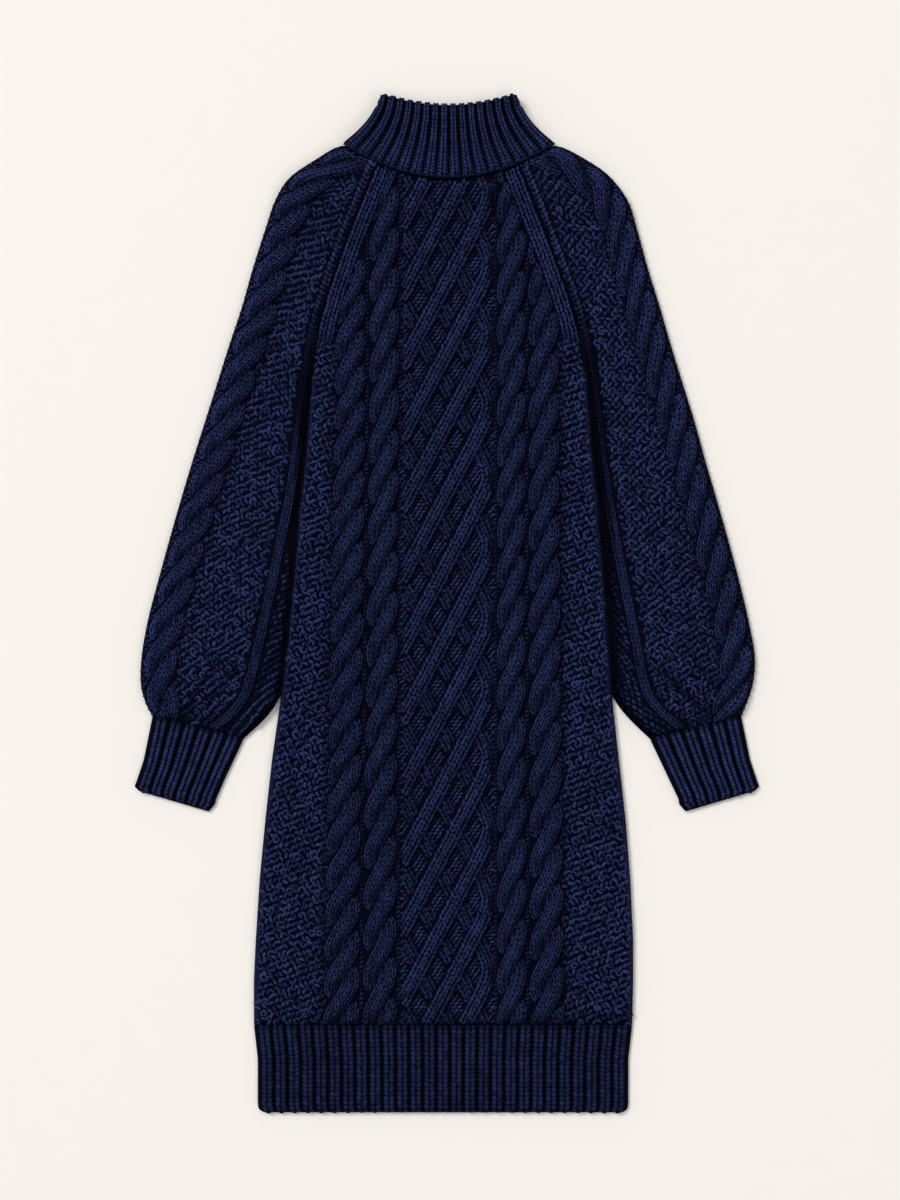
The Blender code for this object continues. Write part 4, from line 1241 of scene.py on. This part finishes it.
def collar_top(share, t):
    """Where the middle of the yarn lies on the collar's front."""
    x, up, z = collar_place(share, t, 1, 0)
    turn = pi * clip(t - 1, 0, 1)
    return placed(x, up - 1.1 * SINK * sin(turn), z - RIB_SINK * cos(turn))


t = [0, 0.01, 0.025, 0.0435, 0.065, *linspace(0.09, 1, 18), *linspace(1.1, 2, 10)]
t = np.array([*t, *linspace(2.15, 3, 7)])[:, None]
front_shares = linspace(-1, 1, COLLAR_RIBS * RIB_CELLS + 1)
edge = 1 - COLLAR_ROUND / FLAP_TOP_HALF
back_shares = [0.985, edge, *arange(14, -15, -1) / COLLAR_RIBS, -edge, -0.985]
shares = concatenate([front_shares, back_shares])
last = len(front_shares)
side = where(arange(len(shares)) < last, 1, -1)
skin = placed(*collar_place(shares, t, side, 0))
skin[:, :last] = collar_top(front_shares, t)
lining = placed(*collar_place(shares, t, side, 1))
ribs = ribbed((shares + 1) / 2 * COLLAR_RIBS)
# painted shade: darker in the purl columns between the ribs, darkest on the front beneath the yarn
tones = where(side > 0, 0.01 + 0.1 * ribs, 0.3 + 0.5 * ribs)
kept = [*range(0, last, RIB_CELLS), *range(last, len(shares))]
collar, cut = cloth("collar", "collar", "wool_rib", skin, lining, kept, (tones, 0.35), ring=True)

parts = []
t = linspace(0.015, 1.62, 160)
wide = interp(t, [0, 1], [0.0086, 0.0062])
for rib in range(COLLAR_RIBS):
    share = np.full(160, (rib + 0.5) / COLLAR_RIBS * 2 - 1)
    parts += wale(collar_top, share, t, wide, 0.0042, 0.22, 0.23, uneven=0.35)
for rib in range(1, COLLAR_RIBS):
    for way in (-1, 1):
        t = arange(0.03 + 0.02 * (way > 0), 0.62, 0.05)
        share = np.full(len(t), rib / COLLAR_RIBS * 2 - 1) + way * 0.0028 / FLAP_HEM_HALF
        # purl bumps fade up the flap: painted shade where the valleys between the ribs narrow
        parts.append(scattered(collar_top, share, t, 0.5 * way, PURL, 0.85, 1.5 * (1 - 1.5 * t)))
share = linspace(-0.985, 0.985, 6 * COLLAR_RIBS)
parts.append(scattered(collar_top, share, 0.016 + 0 * share, 0.45, PURL, 1, 0.9))
collar_yarn = yarn_piece("collar_yarn", parts, "wool_rib")
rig.sheet(collar, held="laid", with_pieces=[collar_yarn], **cut)

# --- Studio ---
# A plain cream floor, wide soft light from above and to the left, and a camera straight
# overhead.


def paper(name, colour):
    """Plain matt paper with the faintest grain."""
    material = Material(name)
    shade = [0.99 * c for c in colour[:3]] + [1]
    colour = material.mix(material.noise(40, 2), colour, shade)
    material.feed(material.surface, {"Base Color": colour, "Roughness": 0.9})
    return material.made


bpy.ops.object.select_all(action="DESELECT")
bpy.ops.mesh.primitive_plane_add(size=60, location=(0, 0, -0.0005))
floor_plane = bpy.context.object
bpy.ops.object.transform_apply()
floor_plane.name = "floor"
floor_plane.data.materials.append(paper("paper", (0.845, 0.812, 0.775, 1)))
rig.stage(floor_plane)


def lamp(name, place, turn, size, power, colour):
    bpy.ops.object.light_add(type="AREA", location=place, rotation=turn)
    light = bpy.context.object
    light.name = name
    light.data.shape = "DISK"
    light.data.size = size
    light.data.energy = power
    light.data.color = colour


lamp("soft_key", (-7.8, 6.6, 12.6), (-0.48, -0.55, 0), 7.5, 1700, (1, 0.99, 0.97))
lamp("soft_fill", (3.4, -2.6, 6), (0.41, 0.52, 0), 4, 60, (0.97, 0.98, 1))

world = bpy.data.worlds.new("soft_room")
world.use_nodes = True
room = world.node_tree.nodes["Background"].inputs
room["Color"].default_value = (1, 0.99, 0.98, 1)
room["Strength"].default_value = 0.55
bpy.context.scene.world = world

bpy.ops.object.camera_add(location=(0.0033, 0.0045, 2.985))
camera = bpy.context.object
camera.data.lens = 85
camera.data.sensor_width = 36
camera.data.sensor_fit = "AUTO"
bpy.context.scene.camera = camera
bpy.context.scene.view_settings.view_transform = "Standard"

dressed_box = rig.bounds()
sizes = {"cad": [list(corner) for corner in cad_box], "visual": [list(corner) for corner in dressed_box]}
with open("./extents.json", "w") as file:
    json.dump(sizes, file)
